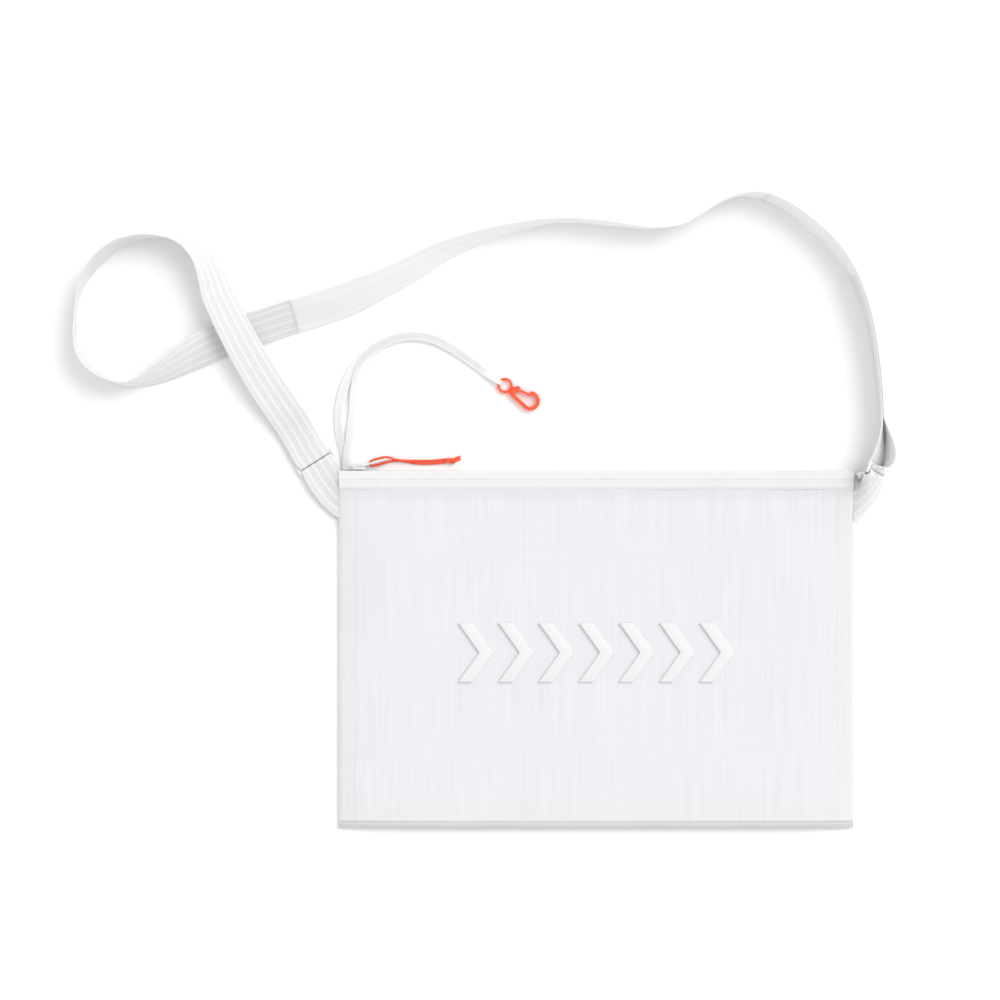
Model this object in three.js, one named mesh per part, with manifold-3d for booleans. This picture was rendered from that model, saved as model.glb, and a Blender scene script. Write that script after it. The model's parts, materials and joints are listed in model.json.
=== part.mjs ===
// Cycling musette bag: a flat zipped pouch lying on its back, its long shoulder strap looped beside it.
// Millimetres, +Z up. The origin is under the middle of the pouch, on the surface that it lies on.
import * as THREE from 'three';
import { mergeVertices } from 'three/addons/utils/BufferGeometryUtils.js';
import Module from 'manifold-3d';

const wasm = await Module();
wasm.setup();

// Clearance between neighbouring pieces
const GAP = 0.3;

// Pouch: cloth panels that meet at the side seams, over a clear hollow
const POUCH_WIDTH = 365;
const POUCH_HEIGHT = 253.5;
const CLOTH = 1;
const HOLLOW = 5.6;
const SEAM_WIDTH = 11.4;
const SEAM_THICKNESS = 1.2;
const GUSSET_SLOPE = 5;
const GUSSET_RISE = 6.4;
const HEM_WIDTH = 7;
const SIDE_SHARPNESS = 8;
const MOUTH_SHARE = 0.18;
const FOOT_SHARE = 0.22;

// Zip along the top fold, its plane upright
const TAPE_THICKNESS = 0.8;
const TAPE_WIDTH = 6.2;
const CHAIN_WIDTH = 3.6;
const CHAIN_THICKNESS = 2.2;
const CHAIN_CHAMFER = 0.6;
const CHAIN_END_MARGIN = 6;
const SLIDER_LENGTH = 10.5;
const SLIDER_WIDTH = 6.6;
const SLIDER_WALL = 1.3;
const SLIDER_INSET = 8.5;
const SLIDER_NOSE = 2.2;
const SLIDER_TAPER = 0.8;
const POST_INSET = 1;
const POST_WIDTH = 2.4;
const BRIDGE_INSET = 1.3;
const BRIDGE_HEIGHT = 3;
const BRIDGE_WIDTH = 2;
const BRIDGE_WALL = 0.9;
const JOINED = 0.5;
const PULLER_LENGTH = 19;
const PULLER_WIDTH = 5.4;
const PULLER_FRAME = 1.3;
const PULLER_THICKNESS = 1.1;
const PULLER_CORNER = 1.6;
const PULLER_ANGLE = 15;

// Pull cord tied through the puller, its two strands knotted together
const CORD_DIAMETER = 1.7;
const KNOT_LENGTH = 5.6;
const KNOT_WIDTH = 4.4;

// Shoulder strap: ribbed elastic at both ends, plain webbing between
const STRAP_WIDTH = 25;
const STRAP_BASE = 1.1;
const RIB_HEIGHT = 0.4;
const RIB_WIDTH = 2.2;
const RIB_PITCH = 5.6;
const RIB_COUNT = 4;
const PLAIN_THICKNESS = 1.3;
const TAIL_LENGTH = 140;
const TAIL_CLOSING = 27;
const STRAP_STEP = 9.5;
const FOLD_STEPS = 8;
const ANCHOR_STEPS = 6;
const ANCHOR_REACH = 0.12;
const RING_LEAD = 6;

// Rectangular rings between the strap and the sewn anchors
const RING_ROD = 1.8;
const RING_SLOT = 4.2;
const RING_CORNER = 1.6;
const LEFT_RING_HEADING = 122.5;
const RIGHT_RING_HEADING = -115;
const RIGHT_RING_TILT = 122;
const ANCHOR_LEFT_SEAM = 33.5;
const ANCHOR_RIGHT_SEAM = 32.5;

// Key leash: a narrow tape, doubled through the eye of a small snap clip
const LEASH_WIDTH = 6.4;
const LEASH_THICKNESS = 0.8;
const LEASH_STEP = 8;
const LEASH_GATHER = 0.55;
const LEASH_LEAD = 4;
const LEASH_RISE_SHARE = 0.1;
const CLIP_HEADING = -31;
const EYE_RADIUS = 4.55;
const EYE_ROD = 2.1;
const CLIP_THICKNESS = 3.6;
const CLIP_LIFT = 0.7;
const HOOK_DISTANCE = 21;
const HOOK_OUTER = 6.8;
const HOOK_INNER = 4.3;
const NOSE_ANGLE = 120;
const NOSE_ROOT_ANGLE = 88;
const NOSE_WIDTH = 0.9;
const SPINE_ANGLE = -110;
const SPINE_WIDTH = 2.6;
const NECK_LOW = 3.8;
const NECK_HIGH = 2.8;
const NECK_STEP = 0.6;
const NECK_THICKNESS = 1.5;
const GATE_PIVOT_X = 9;
const GATE_PIVOT_Y = 2.4;
const GATE_HUB = 1.1;
const GATE_WIDTH = 1.7;
const GATE_TIP_X = 20;
const GATE_TIP_RISE = 0.5;
const GATE_INSET = 0.5;
const SLOT_SHARE = 0.55;
const SOCKET_WALL = 0.8;
const GATE_SWING = 25;
const SWING_STEPS = 4;

// Raised plain chevrons across the front
const CHEVRON_COUNT = 7;
const CHEVRON_PITCH = 28.5;
const CHEVRON_HEIGHT = 42;
const CHEVRON_ARM = 10;
const CHEVRON_POINT = 15;
const CHEVRON_RELIEF = 2;
const CHEVRON_DROP = 2;

// Route of the strap's middle line from ring to ring. x and y are shares of the pouch's size from its centre,
// tilt is degrees from flat, and lift is a share of the strap's width above the surface.
const LEFT_ROUTE = [
  { x: -0.587, y: 0.624, tilt: 0, lift: 0.19 },
  { x: -0.641, y: 0.741, tilt: 10, lift: 0.28 },
  { x: -0.6845, y: 0.848, tilt: 19, lift: 0.28 },
  { x: -0.7155, y: 0.935, tilt: 25, lift: 0.28 },
  { x: -0.7355, y: 0.996, tilt: 34, lift: 0.22 },
  { x: -0.7495, y: 1.055, tilt: 48, lift: 0.14 },
  { x: -0.769, y: 1.102, tilt: 63, lift: 0.08 },
  { x: -0.795, y: 1.134, tilt: 75, lift: 0.04 },
  { x: -0.826, y: 1.149, tilt: 86, lift: 0.01 },
  { x: -0.866, y: 1.154, tilt: 91, lift: 0.01 },
  { x: -0.897, y: 1.148, tilt: 95, lift: 0.01 },
  { x: -0.93, y: 1.13, tilt: 100, lift: 0.01 },
  { x: -0.961, y: 1.096, tilt: 101, lift: 0.01 },
  { x: -0.985, y: 1.056, tilt: 97, lift: 0.01 },
  { x: -1.001, y: 1.007, tilt: 89, lift: 0.01 },
  { x: -1.01, y: 0.938, tilt: 84, lift: 0.01 },
  { x: -1.009, y: 0.86, tilt: 89, lift: 0.01 },
  { x: -0.995, y: 0.81, tilt: 94, lift: 0.01 },
  { x: -0.971, y: 0.775, tilt: 94, lift: 0.01 },
  { x: -0.939, y: 0.751, tilt: 91, lift: 0.01 },
  { x: -0.913, y: 0.742, tilt: 87, lift: 0.01 },
  { x: -0.886, y: 0.748, tilt: 78, lift: 0.01 },
  { x: -0.844, y: 0.776, tilt: 57, lift: 0.01 },
  { x: -0.79, y: 0.821, tilt: 33, lift: 0.01 },
  { x: -0.732, y: 0.864, tilt: 10, lift: 0.01 },
  { x: -0.639, y: 0.91, tilt: 0, lift: 0.01 },
];
const PLAIN_ROUTE = [
  { x: -0.589, y: 0.934, tilt: 0, lift: 0.01 },
  { x: -0.542, y: 0.955, tilt: 8, lift: 0.01 },
  { x: -0.479, y: 0.985, tilt: 22, lift: 0.01 },
  { x: -0.418, y: 1.023, tilt: 39, lift: 0.01 },
  { x: -0.355, y: 1.068, tilt: 48, lift: 0.01 },
  { x: -0.307, y: 1.106, tilt: 57, lift: 0.01 },
  { x: -0.261, y: 1.135, tilt: 67, lift: 0.01 },
  { x: -0.222, y: 1.154, tilt: 72, lift: 0.01 },
  { x: -0.165, y: 1.177, tilt: 79, lift: 0.01 },
  { x: -0.106, y: 1.194, tilt: 85, lift: 0.01 },
  { x: -0.053, y: 1.2, tilt: 88, lift: 0.01 },
  { x: 0.026, y: 1.19, tilt: 88, lift: 0.01 },
  { x: 0.07, y: 1.182, tilt: 91, lift: 0.01 },
  { x: 0.115, y: 1.178, tilt: 93, lift: 0.01 },
  { x: 0.161, y: 1.187, tilt: 95, lift: 0.01 },
  { x: 0.204, y: 1.218, tilt: 93, lift: 0.01 },
  { x: 0.24, y: 1.25, tilt: 92, lift: 0.01 },
  { x: 0.273, y: 1.268, tilt: 91, lift: 0.01 },
  { x: 0.303, y: 1.272, tilt: 88, lift: 0.01 },
];
const RIGHT_ROUTE = [
  { x: 0.33, y: 1.264, tilt: 84, lift: 0.01 },
  { x: 0.365, y: 1.241, tilt: 82, lift: 0.01 },
  { x: 0.401, y: 1.204, tilt: 80, lift: 0.01 },
  { x: 0.448, y: 1.145, tilt: 79, lift: 0.01 },
  { x: 0.48, y: 1.09, tilt: 82, lift: 0.01 },
  { x: 0.502, y: 1.041, tilt: 87, lift: 0.01 },
  { x: 0.527, y: 0.949, tilt: 92, lift: 0.01 },
  { x: 0.542, y: 0.84, tilt: 92, lift: 0.01 },
  { x: 0.552, y: 0.726, tilt: 94, lift: 0.02 },
  { x: 0.556, y: 0.63, tilt: 97, lift: 0.03 },
];
// Middles of the anchors along the side seams, as shares of the pouch's height
const ANCHOR_LEFT_Y = 0.435;
const ANCHOR_RIGHT_Y = 0.4215;

// Middles of the rings, as in the route
const LEFT_RING_PLACE = { x: -0.546, y: 0.525, lift: 0.13 };
const RIGHT_RING_PLACE = { x: 0.541, y: 0.497, lift: 0.54 };

// Route of the key leash from the pouch's corner to the clip. x and y are shares as above, and spread is the
// distance of each strand from the middle line, as a share of the leash's width.
const LEASH_ROUTE = [
  { x: -0.487, y: 0.502, spread: 0 },
  { x: -0.488, y: 0.55, spread: 0.2 },
  { x: -0.489, y: 0.602, spread: 0.6 },
  { x: -0.487, y: 0.666, spread: 0.8 },
  { x: -0.478, y: 0.742, spread: 0.55 },
  { x: -0.458, y: 0.806, spread: 0.12 },
  { x: -0.427, y: 0.848, spread: 0 },
  { x: -0.392, y: 0.871, spread: 0 },
  { x: -0.361, y: 0.879, spread: 0 },
  { x: -0.324, y: 0.872, spread: 0 },
  { x: -0.29, y: 0.851, spread: 0 },
  { x: -0.255, y: 0.819, spread: 0 },
  { x: -0.222, y: 0.784, spread: 0 },
];
const CLIP_PLACE = { x: -0.1774, y: 0.7388 };

// Pull cord: two hand-laid routes from the puller's eye to the knot, and the place of the knot.
// Millimetres from the puller's free end, z above the surface.
const CORD_UPPER = [
  [-12.4, -2.85, 4.3], [-11.4, -1.25, 4.3], [-9, -0.3, 4.2], [-6, 0.5, 4.1], [-3, 1.15, 4], [0, 1.35, 3.8],
  [3, 0.55, 3.5], [6, -0.4, 3.2], [9, -0.95, 3.05], [12, -1.1, 2.95], [15, -1.2, 2.75], [18, -1.25, 2.35],
  [21, -1.25, 1.75], [24, -1.25, 1.25], [27, -1.25, 1.1], [30, -1.2, 1.05], [33, -1.1, 1.1], [36, -0.85, 1.2],
  [39, -0.5, 1.35], [42.5, -0.15, 1.6],
];
const CORD_LOWER = [
  [-12.4, -3.85, 3.9], [-11.4, -4.9, 3.7], [-9, -4.6, 3.3], [-6, -3.9, 2.8], [-3, -3, 2.3], [0, -2.1, 1.8],
  [3, -1.4, 1.35], [6, -1.15, 1.1], [9, -1.2, 1], [12, -1.55, 0.95], [15, -2.15, 0.95], [18, -2.75, 0.95],
  [21, -3.15, 0.95], [24, -3.3, 0.95], [27, -3.3, 0.95], [30, -3.25, 1], [33, -3.1, 1.05], [36, -2.85, 1.2],
  [39, -2.5, 1.35], [42.5, -2.2, 1.6],
];
const KNOT_PLACE = [45.6, -1.2, 2.3];
const CORD_TAILS = [
  { start: [1.9, 0.9, -0.2], end: [6.2, 3, -1.1] },
  { start: [1.9, -0.9, -0.2], end: [6.4, 1.2, -1.3] },
];

// Sizes that follow from the ones above
const STRAP_THICKNESS = STRAP_BASE + RIB_HEIGHT;
const FOLD_RADIUS = RING_ROD / 2 + GAP + STRAP_THICKNESS / 2;
const BAR_SPACING = RING_SLOT + RING_ROD;
const RING_WIDTH = STRAP_WIDTH + 2 * GAP + 2 * RING_ROD;
const SIDE_HEIGHT = CLOTH + GAP + SEAM_THICKNESS + GAP + CLOTH;
const MIDDLE_HEIGHT = 2 * CLOTH + HOLLOW;
const TOP_EDGE = POUCH_HEIGHT / 2;
const FRONT_TOP = TOP_EDGE - TAPE_WIDTH - GAP;
const GUSSET_TOP = -POUCH_HEIGHT / 2 + GUSSET_SLOPE;
const ZIP_HEIGHT = SLIDER_WIDTH + 2 * (TAPE_THICKNESS + GAP);
const CHAIN_Z = ZIP_HEIGHT / 2;
const CHAIN_BACK = TOP_EDGE - TAPE_THICKNESS / 2 - CHAIN_THICKNESS / 2;
const CHAIN_FACE = CHAIN_BACK + CHAIN_THICKNESS;
const SEAM_TOP = CHAIN_BACK - SLIDER_WALL - 2 * GAP;
const GUSSET_WALL = 1.25 * CLOTH;
const GUSSET_FOOT = 2.2;
const LEASH_LAYER = LEASH_THICKNESS + GAP;
const CLIP_Z = CLIP_THICKNESS / 2 + CLIP_LIFT;

const X = new THREE.Vector3(1, 0, 0);
const Y = new THREE.Vector3(0, 1, 0);
const Z = new THREE.Vector3(0, 0, 1);

function material(color, roughness, metalness = 0) {
  return new THREE.MeshStandardMaterial({ color, roughness, metalness });
}
const cloth = material(0xf0f2f5, 0.8);
const clothEdge = material(0xf5f5f2, 0.8);
const webbing = material(0xf4f5f5, 0.75);
const whitePlastic = material(0xf7f7f6, 0.4);
const tapeCloth = material(0xf3f3f2, 0.8);
const enamel = material(0xf4f4f4, 0.3, 0.2);
const orangePlastic = material(0xff5a32, 0.4);
const orangeCord = material(0xff5a32, 0.8);

const bag = new THREE.Group();

function add(name, geometry, finish, parent = bag) {
  geometry.computeVertexNormals();
  const mesh = new THREE.Mesh(geometry, finish);
  mesh.name = name;
  parent.add(mesh);
  return mesh;
}

// Closed solids from three.js geometry, joined and cut
function solid(geometry) {
  const bare = geometry.clone();
  bare.deleteAttribute('normal');
  bare.deleteAttribute('uv');
  const merged = mergeVertices(bare, 1e-4);
  const mesh = new wasm.Mesh({
    numProp: 3,
    vertProperties: Float32Array.from(merged.attributes.position.array),
    triVerts: Uint32Array.from(merged.index.array),
  });
  return new wasm.Manifold(mesh);
}

function surface(manifold) {
  const mesh = manifold.getMesh();
  const geometry = new THREE.BufferGeometry();
  geometry.setAttribute('position', new THREE.BufferAttribute(Float32Array.from(mesh.vertProperties), 3));
  geometry.setIndex(new THREE.BufferAttribute(Uint32Array.from(mesh.triVerts), 1));
  return geometry.toNonIndexed();
}

// A block whose unit cube of places (a, b, c) is carried to any shape by a function
function shaped(across, along, place) {
  const geometry = new THREE.BoxGeometry(1, 1, 1, across, along, 1);
  const position = geometry.attributes.position;
  for (let i = 0; i < position.count; i += 1) {
    const a = position.getX(i) + 0.5;
    const b = position.getY(i) + 0.5;
    const c = position.getZ(i) + 0.5;
    const point = place(a, b, c);
    position.setXYZ(i, point.x, point.y, point.z);
  }
  return geometry.toNonIndexed();
}

// A straight bar along X with a section drawn in Y and Z
function bar(section, from, to) {
  const shape = new THREE.Shape(section.map(([y, z]) => new THREE.Vector2(y, z)));
  const geometry = new THREE.ExtrudeGeometry(shape, { depth: to - from, bevelEnabled: false });
  const turn = new THREE.Matrix4().makeBasis(Y, Z, X);
  geometry.applyMatrix4(turn);
  geometry.translate(from, 0, 0);
  return geometry;
}

// Bands: a section swept through stations, each with a point, a width direction and a width factor
function band(section, stations) {
  const last = stations.length - 1;
  const shape = new THREE.Shape(section.map(([w, t]) => new THREE.Vector2(w, t)));
  const geometry = new THREE.ExtrudeGeometry(shape, { depth: 1, steps: last, bevelEnabled: false });
  const frames = stations.map((station, i) => {
    const before = stations[Math.max(i - 1, 0)].point;
    const after = stations[Math.min(i + 1, last)].point;
    const tangent = station.tangent ?? after.clone().sub(before).normalize();
    const normal = tangent.clone().cross(station.across).normalize();
    return { point: station.point, across: station.across, normal, factor: station.factor ?? 1 };
  });
  const position = geometry.attributes.position;
  for (let i = 0; i < position.count; i += 1) {
    const frame = frames[Math.round(position.getZ(i) * last)];
    const point = frame.point.clone();
    point.addScaledVector(frame.across, position.getX(i) * frame.factor);
    point.addScaledVector(frame.normal, position.getY(i));
    position.setXYZ(i, point.x, point.y, point.z);
  }
  return geometry;
}

function plainSection(width, thickness) {
  const w = width / 2;
  const t = thickness / 2;
  return [[-w, -t], [w, -t], [w, t], [-w, t]];
}

// The ribbed elastic has its ribs on one face
function ribbedSection() {
  const half = STRAP_WIDTH / 2;
  const back = -STRAP_THICKNESS / 2;
  const face = back + STRAP_BASE;
  const crest = STRAP_THICKNESS / 2;
  const points = [[-half, face], [-half, back], [half, back], [half, face]];
  for (let i = RIB_COUNT - 1; i >= 0; i -= 1) {
    const middle = (i - (RIB_COUNT - 1) / 2) * RIB_PITCH;
    points.push([middle + RIB_WIDTH / 2, face]);
    points.push([middle + RIB_WIDTH / 4, crest]);
    points.push([middle - RIB_WIDTH / 4, crest]);
    points.push([middle - RIB_WIDTH / 2, face]);
  }
  return points;
}

function heading(degrees) {
  const angle = degrees * Math.PI / 180;
  return new THREE.Vector3(Math.cos(angle), Math.sin(angle), 0);
}

// Width direction of a band that travels along a tangent and is tilted from flat
function acrossOf(tangent, tilt) {
  const left = Z.clone().cross(tangent).normalize();
  const angle = tilt * Math.PI / 180;
  return left.multiplyScalar(Math.cos(angle)).addScaledVector(Z, Math.sin(angle));
}

function smooth(t) {
  const s = THREE.MathUtils.clamp(t, 0, 1);
  return s * s * (3 - 2 * s);
}

// Height of the front panel's outer face: flat in the middle, falling to the side seams and to the gusset
function frontHeight(x, y) {
  const side = Math.abs(2 * x / POUCH_WIDTH);
  const down = (y - GUSSET_TOP) / (FRONT_TOP - GUSSET_TOP);
  const fall = side ** SIDE_SHARPNESS * (1 - smooth((down - 1 + MOUTH_SHARE) / MOUTH_SHARE));
  const low = GUSSET_RISE + CLOTH;
  const middle = low + (MIDDLE_HEIGHT - low) * smooth(down / FOOT_SHARE);
  return middle + (SIDE_HEIGHT - middle) * fall;
}

const halfWidth = POUCH_WIDTH / 2;

// Pouch panels
add('back_panel', shaped(1, 1, (a, b, c) => new THREE.Vector3(
  THREE.MathUtils.lerp(-halfWidth, halfWidth, a),
  THREE.MathUtils.lerp(-TOP_EDGE + GUSSET_WALL + GUSSET_FOOT, FRONT_TOP, b),
  c * CLOTH,
)), cloth);

// Places across the pouch, closer together near the side seams, where the cloth falls
function acrossPouch(a) {
  const s = 2 * a - 1;
  return halfWidth * Math.sign(s) * (1 - (1 - Math.abs(s)) ** 1.6);
}

add('front_panel', shaped(20, 8, (a, b, c) => {
  const x = acrossPouch(a);
  const y = THREE.MathUtils.lerp(GUSSET_TOP, FRONT_TOP, b);
  return new THREE.Vector3(x, y, frontHeight(x, y) - CLOTH * (1 - c));
}), cloth);

// Bottom gusset: a narrow strip sloping from the front panel's lower edge to the surface
add('bottom_gusset', shaped(20, 1, (a, b, c) => {
  const x = acrossPouch(a);
  const y = THREE.MathUtils.lerp(-TOP_EDGE, GUSSET_TOP - GAP, b) + (1 - c) * GUSSET_WALL;
  const top = frontHeight(x, GUSSET_TOP) - CLOTH - GAP;
  return new THREE.Vector3(x, y, b * top);
}), clothEdge);

// Seam allowances, which show through the cloth along both sides and the bottom
function seam(name, x0, x1, y0, y1) {
  add(name, shaped(1, 1, (a, b, c) => new THREE.Vector3(
    THREE.MathUtils.lerp(x0, x1, a),
    THREE.MathUtils.lerp(y0, y1, b),
    CLOTH + GAP + c * SEAM_THICKNESS,
  )), clothEdge);
}
const seamFoot = GUSSET_TOP + GUSSET_WALL;
const seamBottom = seamFoot + SEAM_WIDTH;
seam('side_seam_left', -halfWidth, -halfWidth + SEAM_WIDTH, seamBottom + GAP, SEAM_TOP);
seam('side_seam_right', halfWidth - SEAM_WIDTH, halfWidth, seamBottom + GAP, SEAM_TOP);
seam('bottom_seam', -halfWidth, halfWidth, seamFoot, seamBottom);

// Hem folded over along the front panel's upper edge
add('top_hem', shaped(20, 1, (a, b, c) => {
  const x = acrossPouch(a);
  const y = THREE.MathUtils.lerp(FRONT_TOP - HEM_WIDTH, FRONT_TOP, b);
  return new THREE.Vector3(x, y, frontHeight(x, y) + GAP + c * CLOTH);
}), clothEdge);

// Zip: two tapes folded round the top edge, with the chain upright between them
const chainLow = CHAIN_Z - CHAIN_WIDTH / 2;
const chainHigh = CHAIN_Z + CHAIN_WIDTH / 2;
add('zip_tape_back', bar([
  [TOP_EDGE - TAPE_WIDTH, 0],
  [TOP_EDGE, 0],
  [TOP_EDGE, chainLow - GAP],
  [TOP_EDGE - TAPE_THICKNESS, chainLow - GAP],
  [TOP_EDGE - TAPE_THICKNESS, TAPE_THICKNESS],
  [TOP_EDGE - TAPE_WIDTH, TAPE_THICKNESS],
], -halfWidth, halfWidth), tapeCloth);
add('zip_tape_front', bar([
  [TOP_EDGE - TAPE_WIDTH, ZIP_HEIGHT - TAPE_THICKNESS],
  [TOP_EDGE - TAPE_THICKNESS, ZIP_HEIGHT - TAPE_THICKNESS],
  [TOP_EDGE - TAPE_THICKNESS, chainHigh + GAP],
  [TOP_EDGE, chainHigh + GAP],
  [TOP_EDGE, ZIP_HEIGHT],
  [TOP_EDGE - TAPE_WIDTH, ZIP_HEIGHT],
], -halfWidth, halfWidth), tapeCloth);

const sliderLeft = -halfWidth + SLIDER_INSET;
const sliderRight = sliderLeft + SLIDER_LENGTH;
const postLeft = sliderLeft + POST_INSET;
const chainStart = postLeft + POST_WIDTH + GAP;
add('zip_chain', bar([
  [CHAIN_BACK, chainLow + CHAIN_CHAMFER],
  [CHAIN_BACK + CHAIN_CHAMFER, chainLow],
  [CHAIN_FACE - CHAIN_CHAMFER, chainLow],
  [CHAIN_FACE, chainLow + CHAIN_CHAMFER],
  [CHAIN_FACE, chainHigh - CHAIN_CHAMFER],
  [CHAIN_FACE - CHAIN_CHAMFER, chainHigh],
  [CHAIN_BACK + CHAIN_CHAMFER, chainHigh],
  [CHAIN_BACK, chainHigh - CHAIN_CHAMFER],
], chainStart, halfWidth - CHAIN_END_MARGIN), tapeCloth);

// Slider: two wings either side of the chain, a post ahead of its first teeth, and a bridge for the puller
function wing(y0, y1) {
  const half = SLIDER_WIDTH / 2;
  const shape = new THREE.Shape();
  shape.moveTo(sliderLeft, CHAIN_Z - half + SLIDER_NOSE);
  shape.lineTo(sliderLeft + SLIDER_NOSE, CHAIN_Z - half);
  shape.lineTo(sliderRight, CHAIN_Z - half + SLIDER_TAPER);
  shape.lineTo(sliderRight, CHAIN_Z + half - SLIDER_TAPER);
  shape.lineTo(sliderLeft + SLIDER_NOSE, CHAIN_Z + half);
  shape.lineTo(sliderLeft, CHAIN_Z + half - SLIDER_NOSE);
  const geometry = new THREE.ExtrudeGeometry(shape, { depth: y1 - y0, bevelEnabled: false });
  geometry.rotateX(Math.PI / 2);
  geometry.translate(0, y1, 0);
  return solid(geometry);
}
function box(x0, x1, y0, y1, z0, z1) {
  const geometry = new THREE.BoxGeometry(x1 - x0, y1 - y0, z1 - z0);
  geometry.translate((x0 + x1) / 2, (y0 + y1) / 2, (z0 + z1) / 2);
  return solid(geometry);
}
const outerWing = CHAIN_FACE + GAP;
const innerWing = CHAIN_BACK - GAP;
const wingFace = outerWing + SLIDER_WALL;
const bridgeLeft = sliderLeft + BRIDGE_INSET;
const bridgeRight = sliderRight - BRIDGE_INSET;
const bridgeLow = CHAIN_Z - BRIDGE_WIDTH / 2;
const bridgeHigh = CHAIN_Z + BRIDGE_WIDTH / 2;
const slider = wing(outerWing, wingFace)
  .add(wing(innerWing - SLIDER_WALL, innerWing))
  .add(box(postLeft, postLeft + POST_WIDTH, innerWing - JOINED, outerWing + JOINED, bridgeLow, bridgeHigh))
  .add(box(bridgeLeft, bridgeRight, wingFace - JOINED, wingFace + BRIDGE_HEIGHT, bridgeLow, bridgeHigh))
  .subtract(box(bridgeLeft + BRIDGE_WALL, bridgeRight - BRIDGE_WALL, wingFace,
    wingFace + BRIDGE_HEIGHT - BRIDGE_WALL, bridgeLow - JOINED, bridgeHigh + JOINED));
add('zip_slider', surface(slider), enamel);

// Puller: a slim frame on edge, its near bar held under the bridge
const puller = new THREE.Group();
const pullerPivot = new THREE.Vector3(
  bridgeRight - BRIDGE_WALL - GAP - PULLER_FRAME / 2,
  wingFace + BRIDGE_HEIGHT - BRIDGE_WALL - GAP - PULLER_FRAME / 2,
  CHAIN_Z,
);
puller.position.copy(pullerPivot);
puller.rotation.z = PULLER_ANGLE * Math.PI / 180;
bag.add(puller);

function roundedOutline(target, x0, x1, y0, y1, radius) {
  target.moveTo(x0 + radius, y0);
  target.lineTo(x1 - radius, y0);
  target.absarc(x1 - radius, y0 + radius, radius, -Math.PI / 2, 0, false);
  target.lineTo(x1, y1 - radius);
  target.absarc(x1 - radius, y1 - radius, radius, 0, Math.PI / 2, false);
  target.lineTo(x0 + radius, y1);
  target.absarc(x0 + radius, y1 - radius, radius, Math.PI / 2, Math.PI, false);
  target.lineTo(x0, y0 + radius);
  target.absarc(x0 + radius, y0 + radius, radius, Math.PI, 1.5 * Math.PI, false);
  return target;
}

const pullerHalf = PULLER_WIDTH / 2;
const pullerEdges = [-PULLER_FRAME / 2, PULLER_LENGTH, -pullerHalf, pullerHalf];
const pullerShape = roundedOutline(new THREE.Shape(), ...pullerEdges, PULLER_CORNER);
pullerShape.holes.push(roundedOutline(new THREE.Path(), PULLER_FRAME / 2, PULLER_LENGTH - PULLER_FRAME,
  -pullerHalf + PULLER_FRAME, pullerHalf - PULLER_FRAME, PULLER_CORNER / 2));
const pullerPlate = new THREE.ExtrudeGeometry(pullerShape, {
  depth: PULLER_THICKNESS,
  bevelEnabled: false,
  curveSegments: 3,
});
pullerPlate.rotateX(Math.PI / 2);
pullerPlate.translate(0, PULLER_THICKNESS / 2, 0);
add('zip_puller', pullerPlate, enamel, puller);

// Pull cord, laid from the puller's eye to the knot
const pullerEnd = pullerPivot.clone().addScaledVector(heading(PULLER_ANGLE), PULLER_LENGTH);
const fromEnd = ([x, y, z]) => new THREE.Vector3(pullerEnd.x + x, pullerEnd.y + y, z);

function roundSection(diameter, sides) {
  const shape = new THREE.Shape();
  for (let i = 0; i < sides; i += 1) {
    const angle = 2 * Math.PI * i / sides;
    const x = diameter / 2 * Math.cos(angle);
    const y = diameter / 2 * Math.sin(angle);
    if (i === 0) {
      shape.moveTo(x, y);
    } else {
      shape.lineTo(x, y);
    }
  }
  return shape;
}

function cordTube(points, steps) {
  const curve = new THREE.CatmullRomCurve3(points);
  const options = { extrudePath: curve, steps, bevelEnabled: false };
  return new THREE.ExtrudeGeometry(roundSection(CORD_DIAMETER, 8), options);
}
add('pull_cord_upper', cordTube(CORD_UPPER.map(fromEnd), 16), orangeCord);
add('pull_cord_lower', cordTube(CORD_LOWER.map(fromEnd), 16), orangeCord);

// The knot is a small barrel with the two cut ends beyond it
const knotCentre = fromEnd(KNOT_PLACE);
const barrel = new THREE.SphereGeometry(0.5, 14, 10);
barrel.scale(KNOT_LENGTH, KNOT_WIDTH, KNOT_WIDTH);
let knot = solid(barrel);
for (const tail of CORD_TAILS) {
  const ends = [new THREE.Vector3(...tail.start), new THREE.Vector3(...tail.end)];
  knot = knot.add(solid(cordTube(ends, 2)));
}
const knotSurface = surface(knot);
knotSurface.translate(knotCentre.x, knotCentre.y, knotCentre.z);
add('pull_knot', knotSurface, orangeCord);

// Rings: rectangular loops, one long bar for the strap and one for the anchor
const place = ({ x, y }) => new THREE.Vector3(x * POUCH_WIDTH, y * POUCH_HEIGHT, 0);

function ringFrame(row, degrees, tilt) {
  const along = heading(degrees);
  const across = acrossOf(along, tilt);
  const centre = place(row).setZ(row.lift * STRAP_WIDTH);
  const outward = along.clone().cross(across);
  return { along, across, outward, centre };
}
const leftRing = ringFrame(LEFT_RING_PLACE, LEFT_RING_HEADING, 0);
const rightRing = ringFrame(RIGHT_RING_PLACE, RIGHT_RING_HEADING, RIGHT_RING_TILT);

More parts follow.
